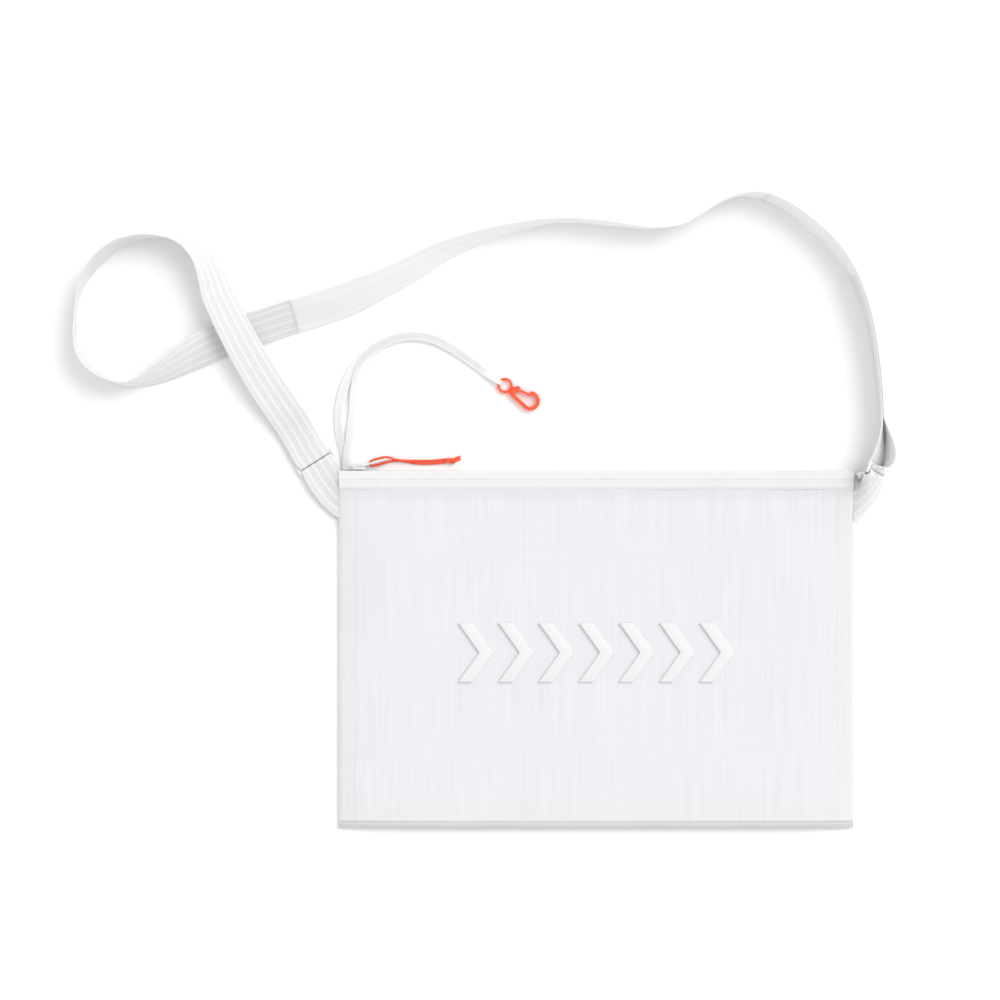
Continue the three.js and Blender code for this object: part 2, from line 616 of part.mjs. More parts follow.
function ring(name, frame) {
  const halfLong = RING_WIDTH / 2;
  const halfShort = BAR_SPACING / 2 + RING_ROD / 2;
  const shape = roundedOutline(new THREE.Shape(), -halfLong, halfLong, -halfShort, halfShort, RING_CORNER);
  shape.holes.push(roundedOutline(new THREE.Path(), -halfLong + RING_ROD, halfLong - RING_ROD,
    -halfShort + RING_ROD, halfShort - RING_ROD, RING_CORNER / 4));
  const soften = RING_ROD / 4;
  const geometry = new THREE.ExtrudeGeometry(shape, {
    depth: RING_ROD - 2 * soften,
    bevelThickness: soften,
    bevelSize: soften,
    bevelOffset: -soften,
    bevelSegments: 1,
    curveSegments: 3,
  });
  geometry.translate(0, 0, -RING_ROD / 2 + soften);
  const turn = new THREE.Matrix4().makeBasis(frame.across, frame.along.clone().negate(), frame.outward);
  geometry.applyMatrix4(turn);
  geometry.translate(frame.centre.x, frame.centre.y, frame.centre.z);
  add(name, geometry, whitePlastic);
}
ring('ring_left', leftRing);
ring('ring_right', rightRing);

// Strap: one middle line from ring to ring, sampled at even steps
const strapBarLeft = leftRing.centre.clone().addScaledVector(leftRing.along, BAR_SPACING / 2);
const strapBarRight = rightRing.centre.clone().addScaledVector(rightRing.along, -BAR_SPACING / 2);
const strapStart = strapBarLeft.clone().addScaledVector(leftRing.outward, FOLD_RADIUS);
const strapEnd = strapBarRight.clone().addScaledVector(rightRing.outward, -FOLD_RADIUS);

function routePoint(row) {
  const angle = row.tilt * Math.PI / 180;
  const standing = STRAP_WIDTH / 2 * Math.sin(angle) + STRAP_THICKNESS / 2 * Math.abs(Math.cos(angle));
  return place(row).setZ(standing + row.lift * STRAP_WIDTH);
}
const strapRows = [...LEFT_ROUTE, ...PLAIN_ROUTE, ...RIGHT_ROUTE];
const strapPoints = [
  strapStart,
  strapStart.clone().addScaledVector(leftRing.along, RING_LEAD),
  ...strapRows.map(routePoint),
  strapEnd.clone().addScaledVector(rightRing.along, -RING_LEAD),
  strapEnd,
];
const strapTilts = [0, 0, ...strapRows.map((row) => row.tilt), RIGHT_RING_TILT, RIGHT_RING_TILT];
const strapCurve = new THREE.CatmullRomCurve3(strapPoints);
strapCurve.arcLengthDivisions = 2000;
const tiltCurve = new THREE.CatmullRomCurve3(strapTilts.map((tilt) => new THREE.Vector3(tilt, 0, 0)));
const strapLength = strapCurve.getLength();

function strapStation(distance) {
  const t = strapCurve.getUtoTmapping(distance / strapLength);
  const point = strapCurve.getPoint(t);
  let tangent = strapCurve.getTangent(t);
  if (distance <= 0) {
    tangent = leftRing.along.clone();
  }
  if (distance >= strapLength) {
    tangent = rightRing.along.clone();
  }
  const flat = tangent.clone().setZ(0).normalize();
  const across = acrossOf(flat, tiltCurve.getPoint(t).x);
  across.addScaledVector(tangent, -across.dot(tangent)).normalize();
  return { point, across, tangent, normal: tangent.clone().cross(across).normalize() };
}

function stationsBetween(from, to, step) {
  const count = Math.max(2, Math.round(Math.abs(to - from) / step));
  const stations = [];
  for (let i = 0; i <= count; i += 1) {
    stations.push(strapStation(THREE.MathUtils.lerp(from, to, i / count)));
  }
  return stations;
}

// Distance along the middle line at which a row of the route lies
function distanceOfRow(index) {
  const t = index / (strapPoints.length - 1);
  const lengths = strapCurve.getLengths(strapCurve.arcLengthDivisions);
  return lengths[Math.round(t * strapCurve.arcLengthDivisions)];
}
const firstJoin = distanceOfRow(2 + LEFT_ROUTE.length);
const secondJoin = distanceOfRow(2 + LEFT_ROUTE.length + PLAIN_ROUTE.length);

// The folded-back tail runs beside the strap, wide apart at the ring's bar and closing beyond it
function tailStations(from, to, side, distanceFromRing) {
  return stationsBetween(from, to, STRAP_STEP).map((station, i, all) => {
    const run = distanceFromRing(THREE.MathUtils.lerp(from, to, i / (all.length - 1)));
    const close = STRAP_THICKNESS + GAP;
    const apart = THREE.MathUtils.lerp(2 * FOLD_RADIUS, close, smooth(run / TAIL_CLOSING));
    const point = station.point.clone().addScaledVector(station.normal, side * apart);
    return { point, across: station.across, tangent: station.tangent.clone().negate(), run };
  });
}

// Half a turn round a bar: beyond is the way past the bar, and the turn goes between the two sides of it
function foldStations(centre, radius, beyond, side, start, end, across, factor = 1) {
  const stations = [];
  for (let i = 1; i < FOLD_STEPS; i += 1) {
    const angle = THREE.MathUtils.lerp(start, end, i / FOLD_STEPS);
    const point = centre.clone();
    point.addScaledVector(beyond, radius * Math.cos(angle));
    point.addScaledVector(side, radius * Math.sin(angle));
    const tangent = beyond.clone().multiplyScalar(-Math.sin(angle)).addScaledVector(side, Math.cos(angle));
    tangent.multiplyScalar(Math.sign(end - start));
    stations.push({ point, across, tangent, factor });
  }
  return stations;
}
const quarter = Math.PI / 2;
const ribbed = ribbedSection();

const leftTail = tailStations(TAIL_LENGTH, 0, -1, (distance) => distance);
const leftFold = foldStations(strapBarLeft, FOLD_RADIUS, leftRing.along.clone().negate(), leftRing.outward,
  -quarter, quarter, leftRing.across);
const leftMain = stationsBetween(0, firstJoin - GAP / 2, STRAP_STEP);
add('strap_left', band(ribbed, [...leftTail, ...leftFold, ...leftMain]), webbing);

const plainMain = stationsBetween(firstJoin + GAP / 2, secondJoin - GAP / 2, STRAP_STEP);
add('strap_middle', band(plainSection(STRAP_WIDTH, PLAIN_THICKNESS), plainMain), webbing);

const rightMain = stationsBetween(secondJoin + GAP / 2, strapLength, STRAP_STEP);
const rightFold = foldStations(strapBarRight, FOLD_RADIUS, rightRing.along, rightRing.outward,
  -quarter, quarter, rightRing.across);
const fromRight = (distance) => strapLength - distance;
const rightTail = tailStations(strapLength, strapLength - TAIL_LENGTH, 1, fromRight);
add('strap_right', band(ribbed, [...rightMain, ...rightFold, ...rightTail]), webbing);

// Anchors: webbing folded round the ring's other bar, both layers sewn into the pouch's side seam.
// Each layer leaves the bar along the ring and turns flat on its way to the seam.
function anchor(name, frame, towards, seam) {
  const barCentre = frame.centre.clone().addScaledVector(towards, BAR_SPACING / 2);
  const layer = (side, seamZ) => {
    const start = barCentre.clone().addScaledVector(frame.outward, side * FOLD_RADIUS);
    const end = seam.point.clone().setZ(seamZ);
    const reach = start.distanceTo(end) * ANCHOR_REACH;
    const leaving = start.clone().addScaledVector(towards, reach);
    const arriving = end.clone().addScaledVector(seam.inward, -reach);
    const curve = new THREE.CubicBezierCurve3(start, leaving, arriving, end);
    const startEdge = start.z - STRAP_WIDTH / 2 * frame.across.z;
    const stations = [];
    for (let i = 0; i <= ANCHOR_STEPS; i += 1) {
      const t = i / ANCHOR_STEPS;
      const across = frame.across.clone().lerp(seam.across, smooth(t)).normalize();
      const factor = THREE.MathUtils.lerp(1, seam.width / STRAP_WIDTH, smooth(t));
      const edge = THREE.MathUtils.lerp(startEdge, seamZ, smooth(t));
      const point = curve.getPoint(t).setZ(edge + STRAP_WIDTH / 2 * factor * across.z);
      stations.push({ point, across, tangent: curve.getTangent(t), factor });
    }
    return stations;
  };
  const low = GAP + STRAP_THICKNESS / 2;
  const high = low + STRAP_THICKNESS + GAP;
  const upper = layer(seam.upperSide, high).reverse();
  const lower = layer(-seam.upperSide, low);
  for (const station of upper) {
    station.tangent.negate();
  }
  const turn = seam.upperSide * quarter;
  const away = towards.clone().negate();
  const fold = foldStations(barCentre, FOLD_RADIUS, away, frame.outward, turn, -turn, frame.across);
  add(name, band(ribbed, [...upper, ...fold, ...lower]), webbing);
}
anchor('anchor_left', leftRing, leftRing.along.clone().negate(), {
  point: new THREE.Vector3(-halfWidth - GAP, ANCHOR_LEFT_Y * POUCH_HEIGHT, 0),
  inward: X,
  across: Y.clone().negate(),
  width: ANCHOR_LEFT_SEAM,
  upperSide: 1,
});
anchor('anchor_right', rightRing, rightRing.along, {
  point: new THREE.Vector3(halfWidth + GAP, ANCHOR_RIGHT_Y * POUCH_HEIGHT, 0),
  inward: X.clone().negate(),
  across: Y,
  width: ANCHOR_RIGHT_SEAM,
  upperSide: -1,
});

// Key leash: one tape out to the clip's eye and back, one strand over the other
const clip = new THREE.Group();
clip.position.copy(place(CLIP_PLACE).setZ(CLIP_Z));
clip.rotation.z = CLIP_HEADING * Math.PI / 180;
bag.add(clip);

const clipAxis = heading(CLIP_HEADING);
const eyeFold = EYE_ROD / 2 + 2 * GAP + LEASH_THICKNESS / 2;
const eyeBar = clip.position.clone().addScaledVector(clipAxis, -EYE_RADIUS);
const leashPoints = LEASH_ROUTE.map(place);
leashPoints[0].setY(TOP_EDGE + GAP);
leashPoints.push(eyeBar.clone().addScaledVector(clipAxis, -LEASH_LEAD).setZ(0));
leashPoints.push(eyeBar.clone().setZ(0));
const leashSpread = [...LEASH_ROUTE.map((row) => row.spread), 0, 0];
const leashCurve = new THREE.CatmullRomCurve3(leashPoints);
const spreadCurve = new THREE.CatmullRomCurve3(leashSpread.map((spread) => new THREE.Vector3(spread, 0, 0)));
const leashLength = leashCurve.getLength();
const leashCount = Math.round(leashLength / LEASH_STEP);

function leashStrand(side) {
  const stations = [];
  for (let i = 0; i <= leashCount; i += 1) {
    const run = i / leashCount;
    const t = leashCurve.getUtoTmapping(run);
    let tangent = leashCurve.getTangent(t);
    if (i === 0) {
      tangent = Y.clone();
    }
    if (i === leashCount) {
      tangent = clipAxis.clone();
    }
    const across = acrossOf(tangent, 0);
    const near = smooth((run - 1 + LEASH_RISE_SHARE) / LEASH_RISE_SHARE);
    const apart = THREE.MathUtils.lerp(LEASH_LAYER / 2, eyeFold, near);
    const low = LEASH_THICKNESS / 2 + LEASH_LAYER / 2 + GAP / 3;
    const middle = THREE.MathUtils.lerp(low, CLIP_Z, near);
    const spread = Math.max(0, spreadCurve.getPoint(t).x) * LEASH_WIDTH;
    const point = leashCurve.getPoint(t);
    point.addScaledVector(across, -side * spread).setZ(middle + side * apart);
    stations.push({ point, across, tangent, factor: THREE.MathUtils.lerp(1, LEASH_GATHER, near) });
  }
  return stations;
}
const leashOver = leashStrand(1);
const leashUnder = leashStrand(-1).reverse();
for (const station of leashUnder) {
  station.tangent.negate();
}
const eyeAcross = acrossOf(clipAxis, 0);
const leashFold = foldStations(eyeBar, eyeFold, clipAxis, Z, quarter, -quarter, eyeAcross, LEASH_GATHER);
const leashStations = [...leashOver, ...leashFold, ...leashUnder];
add('key_leash', band(plainSection(LEASH_WIDTH, LEASH_THICKNESS), leashStations), webbing);

// Snap clip: an eye, a neck with the gate's socket, and a hook round to the nose
function disc(x, y, radius, thickness, sides = 28) {
  const geometry = new THREE.CylinderGeometry(radius, radius, thickness, sides);
  geometry.rotateX(Math.PI / 2);
  geometry.translate(x, y, 0);
  return solid(geometry);
}

function plate(shape, thickness, curveSegments = 18) {
  const options = { depth: thickness, bevelEnabled: false, curveSegments };
  const geometry = new THREE.ExtrudeGeometry(shape, options);
  geometry.translate(0, 0, -thickness / 2);
  return solid(geometry);
}

const noseAngle = NOSE_ANGLE * Math.PI / 180;
const noseRootAngle = NOSE_ROOT_ANGLE * Math.PI / 180;
const spineAngle = SPINE_ANGLE * Math.PI / 180;
const noseInner = HOOK_OUTER - NOSE_WIDTH;
const neckStart = EYE_RADIUS + EYE_ROD / 2;
const neckEnd = GATE_PIVOT_X + NECK_STEP;
const spineRun = HOOK_DISTANCE + HOOK_OUTER * Math.cos(spineAngle) - neckStart;
const spineFall = -HOOK_OUTER * Math.sin(spineAngle) - NECK_LOW;
const spineEdge = -NECK_LOW - spineFall * (neckEnd - neckStart) / spineRun;
const hook = new THREE.Shape();
hook.moveTo(HOOK_DISTANCE + noseInner * Math.cos(noseAngle), noseInner * Math.sin(noseAngle));
hook.lineTo(HOOK_DISTANCE + HOOK_OUTER * Math.cos(noseAngle), HOOK_OUTER * Math.sin(noseAngle));
hook.absarc(HOOK_DISTANCE, 0, HOOK_OUTER, noseAngle, spineAngle, true);
hook.lineTo(neckStart, -NECK_LOW);
hook.lineTo(neckStart, NECK_HIGH);
hook.lineTo(GATE_PIVOT_X, NECK_HIGH);
hook.lineTo(neckEnd, spineEdge + SPINE_WIDTH);
hook.absarc(HOOK_DISTANCE, 0, HOOK_INNER, spineAngle, noseRootAngle, false);

const neckRoot = EYE_RADIUS - EYE_ROD / 3;
const neck = new THREE.Shape();
neck.moveTo(neckRoot, -NECK_LOW + NECK_STEP);
neck.lineTo(neckStart + JOINED, -NECK_LOW + NECK_STEP);
neck.lineTo(neckStart + JOINED, NECK_HIGH - NECK_STEP);
neck.lineTo(neckRoot, NECK_HIGH - NECK_STEP);

// The gate's arm, from its hub in the socket to the tip inside the nose
const tipHeight = HOOK_INNER - GAP - GATE_WIDTH / 2 + GATE_TIP_RISE;
const gateLean = Math.atan2(tipHeight - GATE_PIVOT_Y, GATE_TIP_X - GATE_PIVOT_X);
const gateLength = Math.hypot(GATE_TIP_X - GATE_PIVOT_X, tipHeight - GATE_PIVOT_Y);

function arm(from, to, halfWide, lean) {
  const shape = new THREE.Shape([
    new THREE.Vector2(from, -halfWide),
    new THREE.Vector2(to, -halfWide),
    new THREE.Vector2(to, halfWide),
    new THREE.Vector2(from, halfWide),
  ]);
  const geometry = new THREE.ExtrudeGeometry(shape, { depth: 2 * CLIP_THICKNESS, bevelEnabled: false });
  geometry.translate(0, 0, -CLIP_THICKNESS);
  geometry.rotateZ(lean);
  geometry.translate(GATE_PIVOT_X, GATE_PIVOT_Y, 0);
  return solid(geometry);
}

const gateHalf = GATE_WIDTH / 2;
const gateThickness = CLIP_THICKNESS - 2 * GATE_INSET;
const swing = GATE_SWING * Math.PI / 180;
let clipBody = plate(hook, CLIP_THICKNESS)
  .add(plate(neck, NECK_THICKNESS))
  .add(solid(new THREE.TorusGeometry(EYE_RADIUS, EYE_ROD / 2, 8, 26)))
  .add(disc(GATE_PIVOT_X, GATE_PIVOT_Y, GATE_HUB + GAP + SOCKET_WALL, CLIP_THICKNESS))
  .subtract(disc(GATE_PIVOT_X, GATE_PIVOT_Y, GATE_HUB + GAP, 2 * CLIP_THICKNESS));
for (let i = 0; i <= SWING_STEPS; i += 1) {
  const lean = gateLean - swing * i / SWING_STEPS;
  clipBody = clipBody.subtract(arm(0, gateLength * SLOT_SHARE, gateHalf + GAP, lean));
}
add('clip_body', surface(clipBody), orangePlastic, clip);

const gateShape = new THREE.Shape();
gateShape.moveTo(0, -gateHalf);
gateShape.lineTo(gateLength - gateHalf, -gateHalf);
gateShape.absarc(gateLength - gateHalf, 0, gateHalf, -quarter, quarter, false);
gateShape.lineTo(0, gateHalf);
const gateArm = new THREE.ExtrudeGeometry(gateShape, {
  depth: gateThickness,
  bevelEnabled: false,
  curveSegments: 8,
});
gateArm.translate(0, 0, -gateThickness / 2);
const gate = new THREE.Group();
gate.position.set(GATE_PIVOT_X, GATE_PIVOT_Y, 0);
gate.rotation.z = gateLean;
clip.add(gate);
const gateSolid = solid(gateArm).add(disc(0, 0, GATE_HUB, gateThickness, 20));
add('clip_gate', surface(gateSolid), orangePlastic, gate);

// Raised chevrons, seated on the front panel
for (let i = 0; i < CHEVRON_COUNT; i += 1) {
  const x = (i - (CHEVRON_COUNT - 1) / 2) * CHEVRON_PITCH;
  const half = CHEVRON_HEIGHT / 2;
  const left = x - (CHEVRON_POINT + CHEVRON_ARM) / 2;
  const outline = [
    [left, half],
    [left + CHEVRON_POINT, 0],
    [left, -half],
    [left + CHEVRON_ARM, -half],
    [left + CHEVRON_ARM + CHEVRON_POINT, 0],
    [left + CHEVRON_ARM, half],
  ];
  const shape = new THREE.Shape(outline.map(([u, v]) => new THREE.Vector2(u, v)));
  const geometry = new THREE.ExtrudeGeometry(shape, { depth: CHEVRON_RELIEF, bevelEnabled: false });
  geometry.translate(0, -CHEVRON_DROP, MIDDLE_HEIGHT + GAP);
  add(`chevron_${i + 1}`, geometry, whitePlastic);
}

export default bag;
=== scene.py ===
"""A cycling musette bag: a flat zipped pouch lying on its back, with its shoulder strap beside it."""
import json
import math

import bmesh
import bpy
from mathutils import Matrix, Vector, noise
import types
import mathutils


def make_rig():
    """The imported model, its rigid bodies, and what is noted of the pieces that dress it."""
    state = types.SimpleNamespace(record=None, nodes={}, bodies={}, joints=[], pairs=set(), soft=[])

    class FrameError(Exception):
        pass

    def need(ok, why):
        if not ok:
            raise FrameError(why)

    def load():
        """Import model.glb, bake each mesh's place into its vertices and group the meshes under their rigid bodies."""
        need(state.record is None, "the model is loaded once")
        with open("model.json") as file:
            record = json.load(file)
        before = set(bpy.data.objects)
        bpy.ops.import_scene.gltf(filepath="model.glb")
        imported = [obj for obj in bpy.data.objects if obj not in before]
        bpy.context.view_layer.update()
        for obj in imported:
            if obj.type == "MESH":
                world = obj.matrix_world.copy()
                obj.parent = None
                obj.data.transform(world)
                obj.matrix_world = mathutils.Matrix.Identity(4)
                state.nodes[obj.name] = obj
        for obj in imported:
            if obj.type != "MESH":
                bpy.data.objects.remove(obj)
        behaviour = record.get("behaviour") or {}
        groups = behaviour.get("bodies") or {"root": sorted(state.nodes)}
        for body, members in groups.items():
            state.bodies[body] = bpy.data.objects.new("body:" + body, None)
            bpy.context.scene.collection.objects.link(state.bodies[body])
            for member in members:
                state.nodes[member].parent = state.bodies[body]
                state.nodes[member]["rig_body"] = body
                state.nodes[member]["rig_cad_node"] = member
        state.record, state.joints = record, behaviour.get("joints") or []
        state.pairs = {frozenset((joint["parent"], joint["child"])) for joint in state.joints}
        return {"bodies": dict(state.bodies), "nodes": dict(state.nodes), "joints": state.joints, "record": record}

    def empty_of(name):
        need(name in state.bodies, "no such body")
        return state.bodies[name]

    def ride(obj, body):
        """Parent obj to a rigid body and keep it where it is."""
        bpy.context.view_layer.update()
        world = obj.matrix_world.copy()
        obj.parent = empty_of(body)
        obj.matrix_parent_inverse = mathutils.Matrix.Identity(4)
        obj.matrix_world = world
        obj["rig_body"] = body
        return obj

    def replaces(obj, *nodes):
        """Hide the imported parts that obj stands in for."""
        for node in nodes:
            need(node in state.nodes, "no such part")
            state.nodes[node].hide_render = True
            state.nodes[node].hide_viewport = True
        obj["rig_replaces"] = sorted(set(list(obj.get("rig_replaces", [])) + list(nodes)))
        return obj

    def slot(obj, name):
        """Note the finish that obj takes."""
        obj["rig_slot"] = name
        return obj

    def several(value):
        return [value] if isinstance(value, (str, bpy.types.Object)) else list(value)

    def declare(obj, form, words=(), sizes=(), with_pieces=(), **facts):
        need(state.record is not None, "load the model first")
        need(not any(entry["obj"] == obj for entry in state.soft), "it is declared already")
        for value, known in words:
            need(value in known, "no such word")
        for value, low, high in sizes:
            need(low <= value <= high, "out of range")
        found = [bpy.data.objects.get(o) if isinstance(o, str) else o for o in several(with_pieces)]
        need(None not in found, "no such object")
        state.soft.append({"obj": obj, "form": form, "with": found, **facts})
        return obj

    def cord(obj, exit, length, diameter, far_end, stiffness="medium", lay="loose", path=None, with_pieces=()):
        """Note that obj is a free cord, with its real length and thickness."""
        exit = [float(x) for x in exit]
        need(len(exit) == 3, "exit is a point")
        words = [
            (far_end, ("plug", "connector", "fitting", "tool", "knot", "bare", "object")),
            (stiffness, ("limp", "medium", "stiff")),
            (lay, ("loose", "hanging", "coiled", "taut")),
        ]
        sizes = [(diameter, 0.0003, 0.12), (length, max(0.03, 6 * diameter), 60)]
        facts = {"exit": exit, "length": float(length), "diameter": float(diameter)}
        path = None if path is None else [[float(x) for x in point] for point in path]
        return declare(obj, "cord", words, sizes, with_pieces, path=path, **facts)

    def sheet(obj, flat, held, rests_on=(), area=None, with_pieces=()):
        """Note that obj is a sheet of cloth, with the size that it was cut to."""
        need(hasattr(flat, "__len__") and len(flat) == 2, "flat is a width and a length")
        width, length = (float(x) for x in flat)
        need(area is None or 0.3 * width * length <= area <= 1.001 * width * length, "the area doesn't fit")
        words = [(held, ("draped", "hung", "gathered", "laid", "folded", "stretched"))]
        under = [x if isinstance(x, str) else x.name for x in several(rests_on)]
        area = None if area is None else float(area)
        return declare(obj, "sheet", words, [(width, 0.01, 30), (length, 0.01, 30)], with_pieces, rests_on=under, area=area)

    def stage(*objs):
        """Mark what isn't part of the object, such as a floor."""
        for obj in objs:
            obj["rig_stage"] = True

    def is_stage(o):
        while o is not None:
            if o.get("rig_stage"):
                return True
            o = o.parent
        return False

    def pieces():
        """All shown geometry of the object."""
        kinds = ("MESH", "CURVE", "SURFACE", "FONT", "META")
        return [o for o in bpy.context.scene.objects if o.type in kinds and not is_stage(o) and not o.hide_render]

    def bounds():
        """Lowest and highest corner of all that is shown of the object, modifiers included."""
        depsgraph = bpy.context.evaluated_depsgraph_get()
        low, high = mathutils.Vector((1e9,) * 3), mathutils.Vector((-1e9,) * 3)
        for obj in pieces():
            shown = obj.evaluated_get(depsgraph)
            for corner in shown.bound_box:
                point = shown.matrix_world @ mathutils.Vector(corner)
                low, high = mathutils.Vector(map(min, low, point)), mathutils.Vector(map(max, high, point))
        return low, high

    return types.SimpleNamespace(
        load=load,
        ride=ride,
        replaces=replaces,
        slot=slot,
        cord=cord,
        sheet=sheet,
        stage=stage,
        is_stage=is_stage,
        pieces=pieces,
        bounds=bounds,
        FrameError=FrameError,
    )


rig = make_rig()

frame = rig.load()
cad_box = [list(corner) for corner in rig.bounds()]

MM = 0.001
UP = Vector((0, 0, 1))
RIGHT = Vector((1, 0, 0))
AHEAD = Vector((0, 1, 0))
GAP = 0.3 * MM
SHARP_ANGLE = math.radians(40)

# Pouch
POUCH_WIDTH = 365 * MM
POUCH_HEIGHT = 253.5 * MM
HALF_WIDTH = POUCH_WIDTH / 2
TOP_EDGE = POUCH_HEIGHT / 2
FRONT_TOP = 120.25 * MM
HEM_TOP = 120.52 * MM
GUSSET_TOP = -121.75 * MM
MIDDLE_HEIGHT = 7.6 * MM
SIDE_HEIGHT = 3.8 * MM
SIDE_SHARPNESS = 8
MOUTH_SHARE = 0.18
FOOT_SHARE = 0.22
GUSSET_RISE = 6.4 * MM
FRONT_FOOT = GUSSET_RISE + 1.0 * MM
ZIP_HEIGHT = 8.8 * MM
SEAM_WIDTH = 11.4 * MM
SEAM_THICKNESS = 1.2 * MM
SEAM_HEIGHT = 1.9 * MM
SIDE_SEAM_ENDS = (-108.5 * MM, 122.5 * MM)
FOOT_SEAM_Y = -114.8 * MM
FOOT_BORDER = 13.5 * MM
FRONT_CLOTH = 0.7 * MM
BACK_CLOTH = 0.8 * MM
BACK_HEIGHT = 0.9 * MM
BACK_INSET = 3.5 * MM
GUSSET_CLOTH = 0.8 * MM
GUSSET_FOOT = 0.95 * MM
HEM_CLOTH = 0.2 * MM
HEM_FOOT = 113.4 * MM
POUCH_STITCHES = 140
TAPE_THICKNESS = 0.8 * MM
TAPE_WIDTH = 6.2 * MM
COIL_ENDS = (-170.2 * MM, 176.4 * MM)
COIL_PITCH = 1.25 * MM
COIL_Y = 126.35 * MM
TOOTH_SIZE = Vector((0.95, 1.9, 2.5)) * MM

# Strap, rings and leash
STRAP_WIDTH = 25 * MM
STRAP_THICKNESS = 1.5 * MM
LAYERS_APART = 1.2 * MM
JOIN_GAP = 0.05 * MM
STRAP_BASE = 1.15 * MM
RIB_CREST = 0.22 * MM
RIB_PITCH = 5.6 * MM
RIB_WIDTH = 2.7 * MM
PLAIN_THICKNESS = 1.2 * MM
TAIL_LENGTH = 140 * MM
TAIL_CLOSING = 27 * MM
STATION_STEP = 3 * MM
RING_ROD = 1.8 * MM
RING_SLOT = 4.2 * MM
BAR_SPACING = RING_SLOT + RING_ROD
RING_WIDTH = STRAP_WIDTH + 2 * GAP + 2 * RING_ROD
FOLD_RADIUS = 2.18 * MM
FOLD_STEPS = 16
LOOP_REACH = 36 * MM
LOOP_BULGE = 4 * MM
LOOP_LEAN = 0.32
LEASH_WIDTH = 6.4 * MM
LEASH_THICKNESS = 0.8 * MM
LEASH_LAYER = LEASH_THICKNESS + 0.05 * MM
CORD_DIAMETER = 1.7 * MM
STITCH_LENGTH = 1.9 * MM
STITCH_WIDTH = 0.42 * MM
STITCH_PITCH = 2.3 * MM
SEWN_LINES = (TAIL_LENGTH - 7 * MM, 27 * MM, 30 * MM)

# Middle line of the strap from ring to ring. Columns: x and y as shares of the pouch's width and height,
# tilt in degrees, and lift in strap widths
LEFT_ROUTE = [
    (-0.587, 0.624, 0, 0.19), (-0.641, 0.741, 10, 0.28), (-0.6845, 0.848, 19, 0.28),
    (-0.7155, 0.935, 25, 0.28), (-0.7355, 0.996, 34, 0.22), (-0.7495, 1.055, 48, 0.14),
    (-0.769, 1.102, 63, 0.08), (-0.795, 1.134, 75, 0.04), (-0.826, 1.149, 86, 0.01),
    (-0.866, 1.154, 91, 0.01), (-0.897, 1.148, 95, 0.01), (-0.93, 1.13, 100, 0.01),
    (-0.961, 1.096, 101, 0.01), (-0.985, 1.056, 97, 0.01), (-1.001, 1.007, 89, 0.01),
    (-1.01, 0.938, 84, 0.01), (-1.009, 0.86, 89, 0.01), (-0.995, 0.81, 94, 0.01),
    (-0.971, 0.775, 94, 0.01), (-0.939, 0.751, 91, 0.01), (-0.913, 0.742, 87, 0.01),
    (-0.886, 0.748, 78, 0.01), (-0.844, 0.776, 57, 0.01), (-0.79, 0.821, 33, 0.01),
    (-0.732, 0.864, 10, 0.01), (-0.639, 0.91, 0, 0.01),
]
PLAIN_ROUTE = [
    (-0.589, 0.934, 0, 0.01), (-0.542, 0.955, 8, 0.01), (-0.479, 0.985, 22, 0.01),
    (-0.418, 1.023, 39, 0.01), (-0.355, 1.068, 48, 0.01), (-0.307, 1.106, 57, 0.01),
    (-0.261, 1.135, 67, 0.01), (-0.222, 1.154, 72, 0.01), (-0.165, 1.177, 79, 0.01),
    (-0.106, 1.194, 85, 0.01), (-0.053, 1.2, 88, 0.01), (0.026, 1.19, 88, 0.01),
    (0.07, 1.182, 91, 0.01), (0.115, 1.178, 93, 0.01), (0.161, 1.187, 95, 0.01),
    (0.204, 1.218, 93, 0.01), (0.24, 1.25, 92, 0.01), (0.273, 1.268, 91, 0.01),
    (0.303, 1.272, 88, 0.01),
]
RIGHT_ROUTE = [
    (0.33, 1.264, 84, 0.01), (0.365, 1.241, 82, 0.01), (0.401, 1.204, 80, 0.01),
    (0.448, 1.145, 79, 0.01), (0.48, 1.09, 82, 0.01), (0.502, 1.041, 87, 0.01),
    (0.527, 0.949, 92, 0.01), (0.542, 0.84, 92, 0.01), (0.552, 0.726, 94, 0.02),
    (0.556, 0.63, 97, 0.03),
]
LEFT_RING_PLACE = (-0.546, 0.525, 0.13)
LEFT_RING_HEADING = 122.5
RIGHT_RING_PLACE = (0.541, 0.497, 0.54)
RIGHT_RING_HEADING = -115
RIGHT_RING_TILT = 122
ANCHOR_LEFT_Y = 0.435
ANCHOR_LEFT_SEAM = 33.5 * MM
ANCHOR_RIGHT_Y = 0.4215
ANCHOR_RIGHT_SEAM = 32.5 * MM
ANCHOR_REACH = 0.12
ANCHOR_SEAT = (2.9 * MM, 4.3 * MM)
ANCHOR_RISE = Vector((0, 0, 0.09))

# Key leash. Columns: x and y as shares of the pouch's width and height, and each strand's distance
# from the middle line in leash widths
LEASH_ROUTE = [
    (-0.487, 0.502, 0), (-0.488, 0.55, 0.2), (-0.489, 0.602, 0.6), (-0.487, 0.666, 0.8),
    (-0.478, 0.742, 0.55), (-0.458, 0.806, 0.12), (-0.427, 0.848, 0), (-0.392, 0.871, 0),
    (-0.361, 0.879, 0), (-0.324, 0.872, 0), (-0.29, 0.851, 0), (-0.255, 0.819, 0),
    (-0.222, 0.784, 0),
]
CLIP_CENTRE = Vector((-64.751, 187.286, 2.5)) * MM
CLIP_HEADING = -31
EYE_RADIUS = 4.55 * MM
EYE_ROD = 2.1 * MM
LEASH_GATHER = 0.55
LEASH_ARCH = 2.5 * MM

